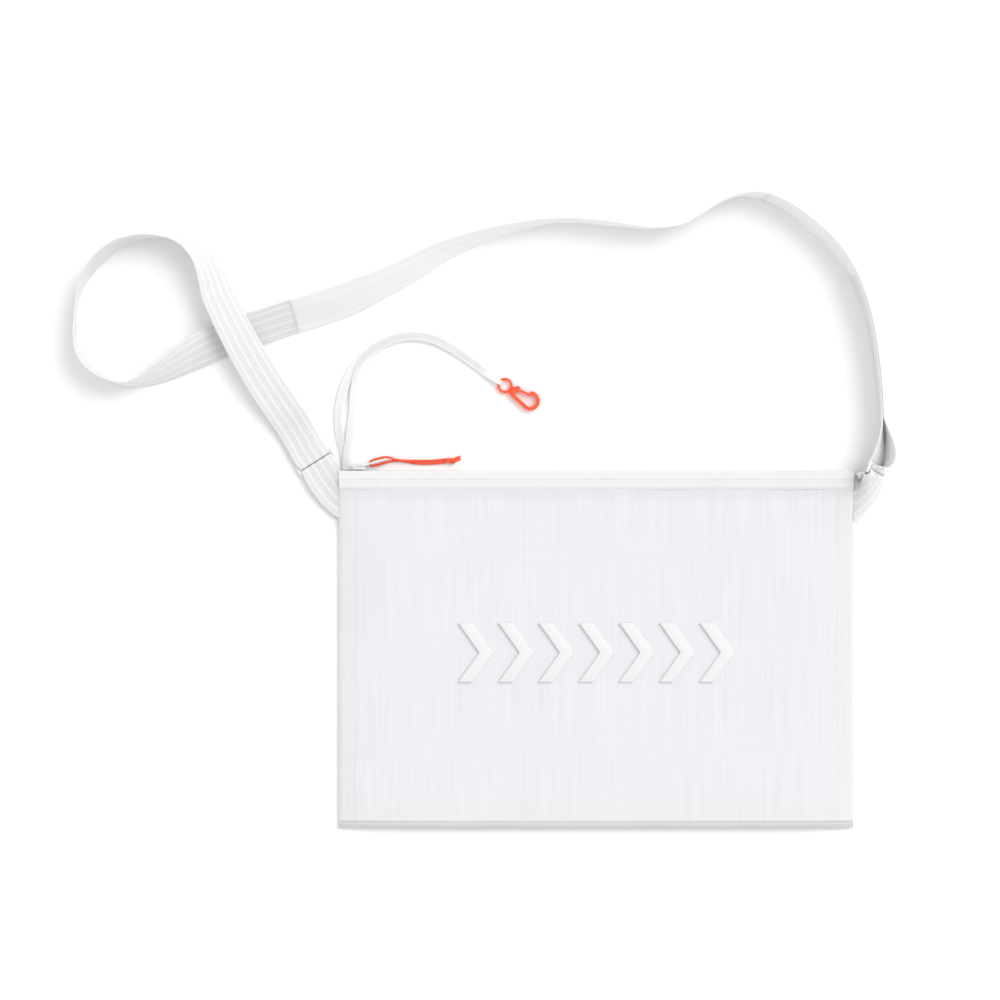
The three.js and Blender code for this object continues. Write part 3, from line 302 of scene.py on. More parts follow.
# Pull cord: both strands' routes from the puller's eye to the knot. Columns: x, y and z in millimetres
# from the puller's free end
PULLER_END = Vector((-148.298, 135.118, 0)) * MM
CORD_UPPER = [
    (-12.4, -2.85, 4.3), (-11.4, -1.25, 4.3), (-9, -0.3, 4.2), (-6, 0.5, 4.1), (-3, 1.15, 4),
    (0, 1.35, 3.8), (3, 0.55, 3.5), (6, -0.4, 3.2), (9, -0.95, 3.05), (12, -1.1, 2.95),
    (15, -1.2, 2.75), (18, -1.25, 2.35), (21, -1.25, 1.75), (24, -1.25, 1.25), (27, -1.25, 1.1),
    (30, -1.2, 1.05), (33, -1.1, 1.1), (36, -0.85, 1.2), (39, -0.5, 1.35), (42.5, -0.15, 1.6),
]
CORD_LOWER = [
    (-12.4, -3.85, 3.9), (-11.4, -4.9, 3.7), (-9, -4.6, 3.3), (-6, -3.9, 2.8), (-3, -3, 2.3),
    (0, -2.1, 1.8), (3, -1.4, 1.35), (6, -1.15, 1.1), (9, -1.2, 1), (12, -1.55, 0.95),
    (15, -2.15, 0.95), (18, -2.75, 0.95), (21, -3.15, 0.95), (24, -3.3, 0.95), (27, -3.3, 0.95),
    (30, -3.25, 1), (33, -3.1, 1.05), (36, -2.85, 1.2), (39, -2.5, 1.35), (42.5, -2.2, 1.6),
]
KNOT_CENTRE = PULLER_END + Vector((45.6, -1.2, 2.3)) * MM
KNOT_TAILS = [
    [(-1.6, 0.2, -0.3), (0.6, 0.7, -0.1), (2.6, 1.5, -0.3), (4.4, 2.3, -0.7), (6.2, 3, -1.1)],
    [(-1.6, -0.4, -0.2), (0.6, -0.4, 0.1), (2.6, 0, -0.2), (4.5, 0.6, -0.8), (6.4, 1.2, -1.3)],
]

# Chevrons
CHEVRON_COUNT = 7
CHEVRON_PITCH = 28.5 * MM
CHEVRON_HEIGHT = 42 * MM
CHEVRON_ARM = 10 * MM
CHEVRON_POINT = 15 * MM
CHEVRON_DROP = 2 * MM
CHEVRON_SEAT = MIDDLE_HEIGHT + 0.05 * MM
CHEVRON_RELIEF = 2.25 * MM
CHEVRON_ROUND = 0.7 * MM

# Camera straight above the middle of the view, with a long lens
VIEW_CENTRE = Vector((-68.3, 106, 0)) * MM
VIEW_WIDTH = 711.5 * MM
CAMERA_HEIGHT = 2


def place_camera():
    lens = bpy.data.cameras.new("camera")
    lens.lens = lens.sensor_width * CAMERA_HEIGHT / VIEW_WIDTH
    lens.clip_start = 0.05
    camera = bpy.data.objects.new("camera", lens)
    camera.location = VIEW_CENTRE + UP * CAMERA_HEIGHT
    bpy.context.scene.collection.objects.link(camera)
    bpy.context.scene.camera = camera


place_camera()


# Curves through given points

def smooth(t):
    s = min(max(t, 0), 1)
    return s * s * (3 - 2 * s)


def mix(a, b, t):
    return a + (b - a) * t


def through(points, t):
    """The point at share t of a smooth curve through the points, which bends no tighter than they do"""
    last = len(points) - 1
    i = min(int(t * last), last - 1)
    p1, p2 = points[i], points[i + 1]
    p0 = points[i - 1] if i > 0 else 2 * p1 - p2
    p3 = points[i + 2] if i + 2 <= last else 2 * p2 - p1
    d0, d1, d2 = (max((b - a).length, 1e-7) ** 0.5 for a, b in ((p0, p1), (p1, p2), (p2, p3)))
    m1 = (p1 - p0) / d0 - (p2 - p0) / (d0 + d1) + (p2 - p1) / d1
    m2 = (p2 - p1) / d1 - (p3 - p1) / (d1 + d2) + (p3 - p2) / d2
    m1, m2 = m1 * d1, m2 * d1
    u = t * last - i
    return p1 + m1 * u + (3 * (p2 - p1) - 2 * m1 - m2) * u * u + (2 * (p1 - p2) + m1 + m2) * u ** 3


class Line:
    """A smooth curve that is read by the distance along it"""

    def __init__(self, points, steps=2400):
        self.points = points
        self.shares = [i / steps for i in range(steps + 1)]
        self.runs = [0]
        before = through(points, 0)
        for share in self.shares[1:]:
            here = through(points, share)
            self.runs.append(self.runs[-1] + (here - before).length)
            before = here
        self.length = self.runs[-1]

    def share(self, distance):
        low, high = 0, len(self.runs) - 1
        while high - low > 1:
            middle = (low + high) // 2
            if self.runs[middle] > distance:
                high = middle
            else:
                low = middle
        span = self.runs[high] - self.runs[low]
        inside = min(max((distance - self.runs[low]) / span, 0), 1) if span else 0
        return mix(self.shares[low], self.shares[high], inside)

    def point(self, distance):
        return through(self.points, self.share(distance))

    def tangent(self, distance):
        share = self.share(distance)
        step = 1e-4
        low, high = max(share - step, 0), min(share + step, 1)
        return (through(self.points, high) - through(self.points, low)).normalized()


class Station:
    """One place along a band: its middle, its width direction, its way along, and how wide it is there"""

    def __init__(self, point, across, tangent, factor=1.0, layer=0.0):
        self.point = point
        self.across = across
        self.tangent = tangent
        self.normal = tangent.cross(across).normalized()
        self.factor = factor
        self.layer = layer


def turned_back(station):
    return Station(station.point, station.across, -station.tangent, station.factor, station.layer)


def heading(degrees):
    return Vector((math.cos(math.radians(degrees)), math.sin(math.radians(degrees)), 0))


def across_of(tangent, tilt):
    left = UP.cross(tangent).normalized()
    return left * math.cos(math.radians(tilt)) + UP * math.sin(math.radians(tilt))


def on_pouch(x, y, z=0.0):
    return Vector((x * POUCH_WIDTH, y * POUCH_HEIGHT, z))


# Meshes

def made(name, bm, finish, slot, replaces=(), body="bag"):
    """The finished piece: its mesh at the origin, its material, its body and the solids it stands for"""
    mesh = bpy.data.meshes.new(name)
    bm.to_mesh(mesh)
    bm.free()
    mesh.shade_smooth()
    mesh.set_sharp_from_angle(angle=SHARP_ANGLE)
    piece = bpy.data.objects.new(name, mesh)
    bpy.context.scene.collection.objects.link(piece)
    mesh.materials.append(finish)
    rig.ride(piece, body)
    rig.slot(piece, slot)
    if replaces:
        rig.replaces(piece, *replaces)
    return piece


def grid_mesh(columns, rows, place):
    """A grid whose shares (a, b) are carried to a surface, with the shares kept in its UV map"""
    bm = bmesh.new()
    uv = bm.loops.layers.uv.new("cloth")
    bmesh.ops.create_grid(bm, x_segments=columns, y_segments=rows, size=0.5)
    for face in bm.faces:
        for loop in face.loops:
            loop[uv].uv = (loop.vert.co.x + 0.5, loop.vert.co.y + 0.5)
    for vert in bm.verts:
        vert.co = place(vert.co.x + 0.5, vert.co.y + 0.5)
    return bm


def close_ends(bm):
    edges = [edge for edge in bm.edges if edge.is_boundary]
    bmesh.ops.holes_fill(bm, edges=edges, sides=0)
    bmesh.ops.recalc_face_normals(bm, faces=bm.faces)


def band_mesh(section, stations, ribs=None):
    """A closed section carried along the stations. Its UV map holds the place across and along, in metres"""
    sides, rows = len(section), len(stations) - 1
    bm = bmesh.new()
    uv = bm.loops.layers.uv.new("run")
    rib = bm.verts.layers.float.new("rib")
    layer = bm.verts.layers.float.new("layer")
    bmesh.ops.create_grid(bm, x_segments=sides, y_segments=rows, size=0.5)
    runs = [0]
    for before, after in zip(stations, stations[1:]):
        runs.append(runs[-1] + (after.point - before.point).length)
    cells = {v: (round((v.co.x + 0.5) * sides) % sides, round((v.co.y + 0.5) * rows)) for v in bm.verts}
    for face in bm.faces:
        for loop in face.loops:
            side, row = cells[loop.vert]
            loop[uv].uv = (section[side][0] * stations[row].factor, runs[row])
    for vert, (side, row) in cells.items():
        station = stations[row]
        w, t = section[side]
        vert.co = station.point + station.across * (w * station.factor) + station.normal * t
        vert[rib] = ribs(w) if ribs else 0
        vert[layer] = station.layer
    bmesh.ops.remove_doubles(bm, verts=bm.verts, dist=1e-7)
    close_ends(bm)
    return bm


def rib_share(w):
    """1 on the crest of a rib of the elastic and 0 between the ribs"""
    nearest = min(abs(w - (i - 1.5) * RIB_PITCH) for i in range(4))
    return smooth(1.25 * (1 - nearest / (RIB_WIDTH / 2))) if nearest < RIB_WIDTH / 2 else 0


def band_section(width, thickness, columns, over=0.0, under=0.0):
    """A flat section with softly rounded edges, and ribs of the given heights over and under it"""
    half = width / 2
    upper = []
    for i in range(columns + 1):
        s = 2 * i / columns - 1
        w = half * math.copysign(abs(s) ** 0.92, s)
        edge = min((half - abs(w)) / (0.5 * thickness), 1)
        upper.append((w, (0.25 + 0.75 * math.sqrt(max(edge, 0))) * thickness / 2))
    lower = [(w, -t - under * rib_share(w)) for w, t in reversed(upper)]
    return [(w, t + over * rib_share(w)) for w, t in upper] + lower


def round_section(diameter, sides=14):
    turns = [2 * math.pi * i / sides for i in range(sides)]
    return [(diameter / 2 * math.cos(turn), diameter / 2 * math.sin(turn)) for turn in turns]


def tube_stations(points, steps):
    """Stations along a round tube that turn as little as they can"""
    line = Line(points, 600)
    stations = []
    across = None
    for i in range(steps + 1):
        distance = line.length * i / steps
        tangent = line.tangent(distance)
        if across is None:
            across = tangent.orthogonal().normalized()
        across = (across - tangent * across.dot(tangent)).normalized()
        stations.append(Station(line.point(distance), across, tangent))
    return stations


def stitch(bm, place, along, up):
    """One visible stitch: a small bead of thread that lies along its seam"""
    side = up.cross(along).normalized() * STITCH_WIDTH / 2
    turn = Matrix((side, along.normalized() * STITCH_LENGTH / 2, up.normalized() * STITCH_WIDTH / 2))
    seat = Matrix.Translation(place) @ turn.transposed().to_4x4()
    bmesh.ops.create_icosphere(bm, subdivisions=1, radius=1, matrix=seat)


def stitch_rows(bm, place, shares, proud):
    """Rows of stitches across the pouch, each at one share of the way up a strip of cloth"""
    for share in shares:
        for i in range(POUCH_STITCHES):
            a = (i + 0.5) / POUCH_STITCHES
            here, there = place(a - 0.002, share), place(a + 0.002, share)
            stitch(bm, (here + there) / 2 + UP * proud, there - here, UP)


# Materials

class Finish:
    """A material under one shader, with its pattern built from named helpers"""

    def __init__(self, name, colour, roughness, sheen=0.0, coat=0.0):
        self.material = bpy.data.materials.new(name)
        self.material.use_nodes = True
        self.tree = self.material.node_tree
        self.shader = self.tree.nodes["Principled BSDF"]
        self.shader.inputs["Base Color"].default_value = (*colour, 1)
        self.shader.inputs["Roughness"].default_value = roughness
        self.shader.inputs["Sheen Weight"].default_value = sheen
        self.shader.inputs["Coat Weight"].default_value = coat

    def node(self, kind, links=None, **settings):
        node = self.tree.nodes.new(kind)
        for key, value in settings.items():
            setattr(node, key, value)
        for socket, value in (links or {}).items():
            if isinstance(value, bpy.types.NodeSocket):
                self.tree.links.new(value, node.inputs[socket])
            else:
                node.inputs[socket].default_value = value
        return node

    def place(self, scale=(1, 1, 1), turn=0.0, source="Object"):
        coordinates = self.node("ShaderNodeTexCoord").outputs[source]
        links = {"Vector": coordinates, "Scale": scale, "Rotation": (0, 0, turn)}
        return self.node("ShaderNodeMapping", links).outputs["Vector"]

    def noise(self, scale, detail=2.0, source="Object"):
        links = {"Vector": self.place(scale, source=source), "Scale": 1.0, "Detail": detail}
        return self.node("ShaderNodeTexNoise", links).outputs["Fac"]

    def lines(self, pitch, direction, source="Object", turn=0.0):
        """Even lines across one direction, 0 between them and 1 on them"""
        links = {"Vector": self.place(turn=turn, source=source), "Scale": math.pi / 10 / pitch}
        return self.node("ShaderNodeTexWave", links, bands_direction=direction).outputs["Fac"]

    def math(self, kind, *values):
        return self.node("ShaderNodeMath", dict(enumerate(values)), operation=kind).outputs["Value"]

    def ranged(self, value, low, high, to_low=0.0, to_high=1.0):
        links = {"Value": value, "From Min": low, "From Max": high, "To Min": to_low, "To Max": to_high}
        return self.node("ShaderNodeMapRange", links).outputs["Result"]

    def colours(self, share, first, second):
        blend = self.node("ShaderNodeMix", {0: share, 6: (*first, 1), 7: (*second, 1)}, data_type="RGBA")
        return blend.outputs[2]

    def shaded(self, colour, amount):
        """The colour multiplied by a grey amount"""
        grey = self.node("ShaderNodeCombineColor", {0: amount, 1: amount, 2: amount}).outputs["Color"]
        links = {0: 1.0, 6: colour, 7: grey}
        return self.node("ShaderNodeMix", links, data_type="RGBA", blend_type="MULTIPLY").outputs[2]

    def attribute(self, name):
        return self.node("ShaderNodeAttribute", attribute_name=name).outputs["Fac"]

    def paint(self, colour):
        self.tree.links.new(colour, self.shader.inputs["Base Color"])

    def glow(self, weight, depth):
        """Lets light through thin cloth"""
        self.shader.inputs["Subsurface Weight"].default_value = weight
        self.shader.inputs["Subsurface Radius"].default_value = (1, 1, 1)
        self.shader.inputs["Subsurface Scale"].default_value = depth

    def relief(self, height, strength, distance):
        links = {"Height": height, "Strength": strength, "Distance": distance}
        normal = self.node("ShaderNodeBump", links).outputs["Normal"]
        self.tree.links.new(normal, self.shader.inputs["Normal"])


def pouch_cloth():
    """Fine see-through ripstop: threads both ways, a warmer white over the seam allowances, and a darker bluish white
    elsewhere that paints the shade of the hollow seen through the single layer
    """
    finish = Finish("pouch_cloth", (0.8, 0.81, 0.83), 0.75, sheen=0.1)
    upright = finish.noise((620, 14, 1), 3.0)
    level = finish.noise((14, 620, 1), 3.0)
    cloudy = finish.noise((16, 16, 16), 2.0)
    threads = finish.math(
        "ADD",
        finish.ranged(upright, 0.3, 0.7, 0.955, 1.015),
        finish.ranged(level, 0.3, 0.7, -0.01, 0.015),
    )
    tone = finish.math("MULTIPLY", threads, finish.ranged(cloudy, 0.35, 0.65, 0.99, 1.0))
    border = finish.attribute("border")
    # Painted shade: away from the seam allowances the cloth is a darker bluish white, for the shaded inside seen
    # through it. Over the allowances it is the warmer white of the extra layers.
    colour = finish.colours(border, (0.735, 0.745, 0.775), (0.745, 0.74, 0.74))
    colour = finish.shaded(colour, tone)
    # Painted shade from the shade mark: a band under the hem and thin lines along the seam allowances' inner edges.
    finish.paint(finish.shaded(colour, finish.attribute("shade")))
    weave = finish.math("ADD", finish.lines(0.9 * MM, "X"), finish.lines(0.9 * MM, "Y"))
    finish.relief(weave, 0.35, 0.05 * MM)
    return finish.material


def edge_cloth(name, light):
    """The same cloth doubled at hems, seams and the zip's tapes"""
    finish = Finish(name, (light, light, light), 0.8, sheen=0.1)
    upright = finish.noise((700, 18, 18), 3.0)
    cloudy = finish.noise((30, 30, 30), 2.0)
    tone = finish.math(
        "MULTIPLY",
        finish.ranged(upright, 0.3, 0.7, 0.975, 1.0),
        finish.ranged(cloudy, 0.35, 0.65, 0.985, 1.0),
    )
    colour = finish.colours(cloudy, (light, light, 0.992 * light), (1.03 * light,) * 3)
    finish.paint(finish.shaded(colour, tone))
    weave = finish.math("ADD", finish.lines(0.8 * MM, "X"), finish.lines(0.8 * MM, "Y"))
    finish.relief(weave, 0.4, 0.06 * MM)
    return finish.material


def ribbed_webbing():
    """Elastic with bright ribs and fine crossing threads, and painted shade: darker on the left elastic's single run,
    where its layer mark is 0
    """
    finish = Finish("ribbed_webbing", (0.8, 0.8, 0.8), 0.7, sheen=0.15)
    rib = finish.attribute("rib")
    threads = finish.noise((3, 900, 1), 2.0, source="UV")
    along = finish.noise((1500, 8, 1), 2.0, source="UV")
    colour = finish.colours(rib, (0.79, 0.79, 0.79), (0.86, 0.86, 0.86))
    finish.glow(1.0, 2.2 * MM)
    tone = finish.math(
        "MULTIPLY",
        finish.ranged(threads, 0.3, 0.7, 0.975, 1.0),
        finish.ranged(along, 0.3, 0.7, 0.985, 1.0),
    )
    # Painted shade: where the layer mark is 0, on the left elastic's single run, the tone is darker for the shade on
    # that loop's faces. Elsewhere it is marked 1, the right elastic's single run too, and the tone is lighter.
    tone = finish.math("MULTIPLY", tone, finish.ranged(finish.attribute("layer"), 0.0, 1.0, 0.89, 0.97))
    finish.paint(finish.shaded(colour, tone))
    weave = finish.math("ADD", finish.lines(0.7 * MM, "Y", "UV"), finish.lines(0.62 * MM, "X", "UV"))
    finish.relief(weave, 0.4, 0.08 * MM)
    return finish.material


def plain_webbing(name, light):
    """Flat woven tape with faint lengthwise bands"""
    finish = Finish(name, (light, light, light), 0.7, sheen=0.15)
    bands = finish.noise((260, 1.5, 1), 1.0, source="UV")
    threads = finish.noise((1400, 12, 1), 2.0, source="UV")
    tone = finish.math(
        "MULTIPLY",
        finish.ranged(bands, 0.3, 0.7, 0.965, 1.0),
        finish.ranged(threads, 0.3, 0.7, 0.98, 1.0),
    )
    colour = finish.colours(bands, (light,) * 3, (1.035 * light,) * 3)
    finish.paint(finish.shaded(colour, tone))
    finish.glow(1.0, 2.2 * MM)
    weave = finish.math("ADD", finish.lines(0.6 * MM, "Y", "UV"), finish.lines(0.6 * MM, "X", "UV"))
    finish.relief(weave, 0.4, 0.06 * MM)
    return finish.material


def moulded(name, colour, roughness, coat=0.0):
    """Moulded plastic or enamel with a faint uneven skin"""
    finish = Finish(name, colour, roughness, coat=coat)
    cloudy = finish.noise((260, 260, 260), 2.0)
    darker = tuple(channel * 0.94 for channel in colour)
    finish.paint(finish.colours(finish.ranged(cloudy, 0.35, 0.65), darker, colour))
    finish.relief(finish.noise((900, 900, 900), 3.0), 0.25, 0.02 * MM)
    return finish.material


def braided_cord():
    """Orange cord: two sets of fine strands that cross at a slant"""
    finish = Finish("braided_cord", (1.0, 0.1, 0.03), 0.75, sheen=0.2)
    slant = math.radians(38)
    turned = [finish.lines(0.55 * MM, "X", "UV", turn) for turn in (slant, -slant)]
    braid = finish.math("MULTIPLY", *turned)
    finish.paint(finish.colours(braid, (0.97, 0.09, 0.03), (1.0, 0.12, 0.04)))
    finish.glow(0.5, 3 * MM)
    finish.relief(braid, 0.6, 0.15 * MM)
    return finish.material


def raised_print():
    """Thick white print with a finely pitted face"""
    finish = Finish("raised_print", (0.92, 0.92, 0.92), 0.5)
    pits = finish.noise((1100, 1100, 1100), 3.0)
    finish.paint(finish.colours(finish.ranged(pits, 0.3, 0.7), (0.74, 0.74, 0.745), (0.78, 0.78, 0.785)))
    finish.relief(pits, 0.3, 0.05 * MM)
    return finish.material


cloth = pouch_cloth()
doubled_cloth = edge_cloth("edge_cloth", 0.765)
# Painted shade: the gusset's cloth is a darker copy of the edge cloth, for the shade on its slope facing away from the
# light.
gusset_cloth_painted_shade = edge_cloth("gusset_cloth_painted_shade", 0.6)
elastic = ribbed_webbing()
webbing = plain_webbing("plain_webbing", 0.8)
leash_webbing = plain_webbing("leash_webbing", 0.87)
ring_plastic = moulded("ring_plastic", (0.86, 0.86, 0.86), 0.3)
enamel = moulded("enamel", (0.8, 0.8, 0.8), 0.25, coat=0.4)
orange_plastic = moulded("orange_plastic", (1.0, 0.1, 0.03), 0.35)
orange_cord = braided_cord()
print_white = raised_print()
thread = moulded("thread", (0.8, 0.8, 0.8), 0.7)
coil_plastic = moulded("coil_plastic", (0.84, 0.84, 0.83), 0.4)


# Pull cord: two strands from the puller's eye to one knot, a short wound barrel with two cut ends

def cord_strand(name, offsets, node):
    points = [PULLER_END + Vector(offset) * MM for offset in offsets]
    stations = tube_stations(points, 90)
    bm = band_mesh(round_section(CORD_DIAMETER), stations)
    strand = made(name, bm, orange_cord, "orange_cord", [node])
    return strand, [station.point for station in stations]


def tie_knot():
    coil = []
    for i in range(61):
        turn = 2 * math.pi * 2.6 * i / 60
        coil.append(Vector((-2.2 + 4.1 * i / 60, 1.25 * math.cos(turn), 1.25 * math.sin(turn))) * MM)
    runs = [[KNOT_CENTRE + point for point in coil]]
    runs += [[KNOT_CENTRE + Vector(point) * MM for point in tail] for tail in KNOT_TAILS]
    whole = bmesh.new()
    for run, steps in zip(runs, (90, 24, 24)):
        part = band_mesh(round_section(CORD_DIAMETER), tube_stations(run, steps))
        mesh = bpy.data.meshes.new("run")
        part.to_mesh(mesh)
        part.free()
        whole.from_mesh(mesh)
        bpy.data.meshes.remove(mesh)
    return made("pull_cord_knot", whole, orange_cord, "orange_cord", ["pull_knot"])


knot = tie_knot()
for strand_name, strand_route, strand_node in (
    ("cord_upper_strand", CORD_UPPER, "pull_cord_upper"),
    ("cord_lower_strand", CORD_LOWER, "pull_cord_lower"),
):
    strand, strand_path = cord_strand(strand_name, strand_route, strand_node)
    strand_length = sum((b - a).length for a, b in zip(strand_path, strand_path[1:]))
    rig.cord(
        strand, exit=strand_path[0], length=strand_length, diameter=CORD_DIAMETER, far_end="knot",
        stiffness="limp", lay="loose", path=strand_path,
        with_pieces=[knot] if strand_name == "cord_upper_strand" else [],
    )


# Pouch

def front_height(x, y):
    """Height of the front panel's outer face: flat in the middle, falling to the sides and the gusset"""
    side = min(abs(2 * x / POUCH_WIDTH), 1)
    down = (y - GUSSET_TOP) / (FRONT_TOP - GUSSET_TOP)
    fall = side ** SIDE_SHARPNESS * (1 - smooth((down - 1 + MOUTH_SHARE) / MOUTH_SHARE))
    middle = FRONT_FOOT + (MIDDLE_HEIGHT - FRONT_FOOT) * smooth(down / FOOT_SHARE)
    return middle + (SIDE_HEIGHT - middle) * fall


def ripple(x, y, scale, seed):
    return noise.noise(Vector((x / scale, y / scale, seed)))


def front_relief(x, y):
    """Slack in the front panel: broad swells, calmer under the chevrons, and short puckers at the edges"""
    quiet = 1 - smooth((0.125 - abs(x)) / 0.03) * smooth((0.035 - abs(y + 0.002)) / 0.02)
    swell = 0.35 * ripple(x, y, 0.075, 1.7) + 0.2 * ripple(x, y, 0.03, 5.1)
    from_top = FRONT_TOP - y
    from_foot = y - GUSSET_TOP
    from_side = HALF_WIDTH - abs(x)
    pucker = 0.3 * ripple(x * 4, y, 0.05, 9.2) * math.exp(-from_top / 0.012)
    pucker += 0.35 * ripple(x * 3, y, 0.05, 3.3) * math.exp(-from_foot / 0.014)
    pucker += 0.25 * ripple(x, y * 3, 0.05, 7.9) * math.exp(-from_side / 0.01)
    rim = smooth(min(from_top, from_foot, from_side) / 0.004)
    curl = 0.6 * (1 - smooth(from_side / 0.002))
    return ((swell * (0.25 + 0.75 * quiet) + pucker) * rim - curl) * MM


def across_pouch(a):
    s = 2 * a - 1
    return HALF_WIDTH * math.copysign(1 - (1 - abs(s)) ** 1.35, s)


def band_shares(bm, border, shade):
    """Marks each point of a panel with how much seam allowance lies behind it and how much painted shade it takes"""
    edge = bm.verts.layers.float.new("border")
    tone = bm.verts.layers.float.new("shade")
    for vert in bm.verts:
        vert[edge] = border(vert.co.x, vert.co.y)
        vert[tone] = shade(vert.co.x, vert.co.y)


def seam_border(x, y):
    side = smooth((abs(x) - (HALF_WIDTH - SEAM_WIDTH)) / (0.8 * MM) + 0.5)
    foot = smooth((GUSSET_TOP + FOOT_BORDER - y) / (0.8 * MM) + 0.5)
    return max(side, foot)


def front_shade(x, y):
    """Painted shade: darker in a band just under the hem and in thin lines along the inner edges of the seam
    allowances
    """
    under_hem = math.exp(-((FRONT_TOP - 9.5 * MM - y) / (4.5 * MM)) ** 2)
    side_line = math.exp(-((abs(x) - (HALF_WIDTH - SEAM_WIDTH)) / (0.7 * MM)) ** 2)
    return 1 - 0.05 * under_hem - 0.045 * side_line


def solid_cloth(bm, thickness):
    """Gives a panel its thickness below its outer face"""
    bmesh.ops.recalc_face_normals(bm, faces=bm.faces)
    if sum(face.normal.z for face in bm.faces) < 0:
        bmesh.ops.reverse_faces(bm, faces=bm.faces)
    bmesh.ops.solidify(bm, geom=bm.faces, thickness=thickness)
    bmesh.ops.recalc_face_normals(bm, faces=bm.faces)


def make_front():
    def place(a, b):
        x = across_pouch(a)
        y = mix(GUSSET_TOP, FRONT_TOP, b)
        return Vector((x, y, front_height(x, y) + front_relief(x, y)))

    bm = grid_mesh(170, 120, place)
    band_shares(bm, seam_border, front_shade)
    solid_cloth(bm, FRONT_CLOTH)
    front = made("pouch_front", bm, cloth, "cloth", ["front_panel"])
    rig.sheet(front, flat=(POUCH_WIDTH, FRONT_TOP - GUSSET_TOP), held="laid", rests_on=["pouch_back"])


def make_back():
    def place(a, b):
        x = across_pouch(a)
        y = mix(-TOP_EDGE + BACK_INSET, FRONT_TOP, b)
        sag = 0.12 * (1 + ripple(x, y, 0.04, 2.4)) * smooth((HALF_WIDTH - abs(x)) / 0.01)
        return Vector((x, y, BACK_HEIGHT + sag * MM))

    bm = grid_mesh(90, 60, place)
    band_shares(bm, seam_border, lambda x, y: 1)
    solid_cloth(bm, BACK_CLOTH)
    back = made("pouch_back", bm, cloth, "cloth", ["back_panel"])
    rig.sheet(back, flat=(POUCH_WIDTH, FRONT_TOP + TOP_EDGE - BACK_INSET), held="laid")


# The gusset's profile in the middle of the pouch, from under its outer edge up to the front panel.
# Columns: y and z in millimetres
GUSSET_PROFILE = [
    (-120.8, 0.95), (-123.6, 1.6), (-125.8, 3.2), (-126.9, 5.5), (-126.3, 7.2), (-124.3, 7.7),
    (-121.0, 6.75),
]


def make_gusset():
    profile = [Vector((y, z, 0)) * MM for y, z in GUSSET_PROFILE]

    def place(a, b):
        x = across_pouch(a)
        share = (front_height(x, GUSSET_TOP) - SEAM_HEIGHT) / (FRONT_FOOT - SEAM_HEIGHT)
        spot = through(profile, b)
        sway = 0.15 * MM * ripple(x * 5, 0, 0.05, 4.4) * math.sin(math.pi * b)
        return Vector((x, spot.x + sway, GUSSET_FOOT + (spot.y - GUSSET_FOOT) * share))

    bm = grid_mesh(150, 14, place)
    solid_cloth(bm, GUSSET_CLOTH)
    stitch_rows(bm, place, (0.8, 0.95), 0.15 * MM)
    # The gusset takes the darker edge cloth with painted shade.
    made("pouch_gusset", bm, gusset_cloth_painted_shade, "cloth_edge", ["bottom_gusset"])


def make_seams():
    """The folded edges between the panels: a narrow roll of cloth down both sides and along the foot"""
    section = band_section(SEAM_WIDTH, SEAM_THICKNESS, columns=16)
    shares = [i / 80 for i in range(81)]
    for name, side, node in (("seam_left", -1, "side_seam_left"), ("seam_right", 1, "side_seam_right")):
        stations = []
        for share in shares:
            y = mix(*SIDE_SEAM_ENDS, share)
            x = side * (HALF_WIDTH - SEAM_WIDTH / 2 + 0.12 * MM * ripple(y, 0, 0.02, 3 + side))
            stations.append(Station(Vector((x, y, SEAM_HEIGHT)), RIGHT, AHEAD))
        made(name, band_mesh(section, stations), doubled_cloth, "cloth_edge", [node])
    stations = []
    for share in shares:
        point = Vector((mix(-HALF_WIDTH, HALF_WIDTH, share), FOOT_SEAM_Y, SEAM_HEIGHT))
        stations.append(Station(point, AHEAD, RIGHT))
    made("seam_foot", band_mesh(section, stations), doubled_cloth, "cloth_edge", ["bottom_seam"])


def make_hem():
    def place(a, b):
        x = across_pouch(a)
        y = mix(HEM_FOOT, HEM_TOP, b)
        uneven = 0.1 * ripple(x * 4, y, 0.05, 6.1) * (1 - smooth(b * 4 - 3))
        lift = mix(0.25, 1.1, smooth(b * 3.5)) + uneven
        return Vector((x, y, front_height(x, y) + lift * MM))

    bm = grid_mesh(170, 12, place)
    solid_cloth(bm, HEM_CLOTH)
    stitch_rows(bm, place, (0.2, 0.82), 0.1 * MM)
    made("pouch_hem", bm, doubled_cloth, "cloth_edge", ["top_hem"])


# Zip: two tapes folded round the top edge, a coil between them, its slider and the puller

def make_zip():
    edge, inner = TOP_EDGE, TOP_EDGE - TAPE_WIDTH
    inside = edge - TAPE_THICKNESS
    tapes = {
        "zip_tape_upper": ("zip_tape_front", ZIP_HEIGHT, 6.5 * MM, -1),
        "zip_tape_lower": ("zip_tape_back", 0.0, 2.3 * MM, 1),
    }
    for name, (node, outer, lip, way) in tapes.items():
        flat = outer + way * TAPE_THICKNESS
        section = [
            (inner, outer + way * 0.15 * MM), (inner + 0.15 * MM, outer), (edge - 0.9 * MM, outer),
            (edge - 0.27 * MM, outer + way * 0.27 * MM), (edge, outer + way * 0.9 * MM),
            (edge, lip - way * 0.15 * MM), (edge - 0.2 * MM, lip), (edge - 0.6 * MM, lip),
            (inside, lip - way * 0.2 * MM), (inside, flat + way * 0.3 * MM), (inside - 0.3 * MM, flat),
            (inner + 0.15 * MM, flat), (inner, flat - way * 0.15 * MM),
        ]
        middle = ZIP_HEIGHT / 2
        stations = []
        for i in range(121):
            x = mix(-HALF_WIDTH, HALF_WIDTH, i / 120)
            sway = -way * 0.1 * MM * ripple(x * 3, 0, 0.05, 8.8)
            inward = min(sway, 0) if way < 0 else max(sway, 0)
            stations.append(Station(Vector((x, edge, middle + inward)), AHEAD, RIGHT))
        centred = [(y - edge, z - middle) for y, z in section]
        made(name, band_mesh(centred, stations), doubled_cloth, "zip_tape", [node])


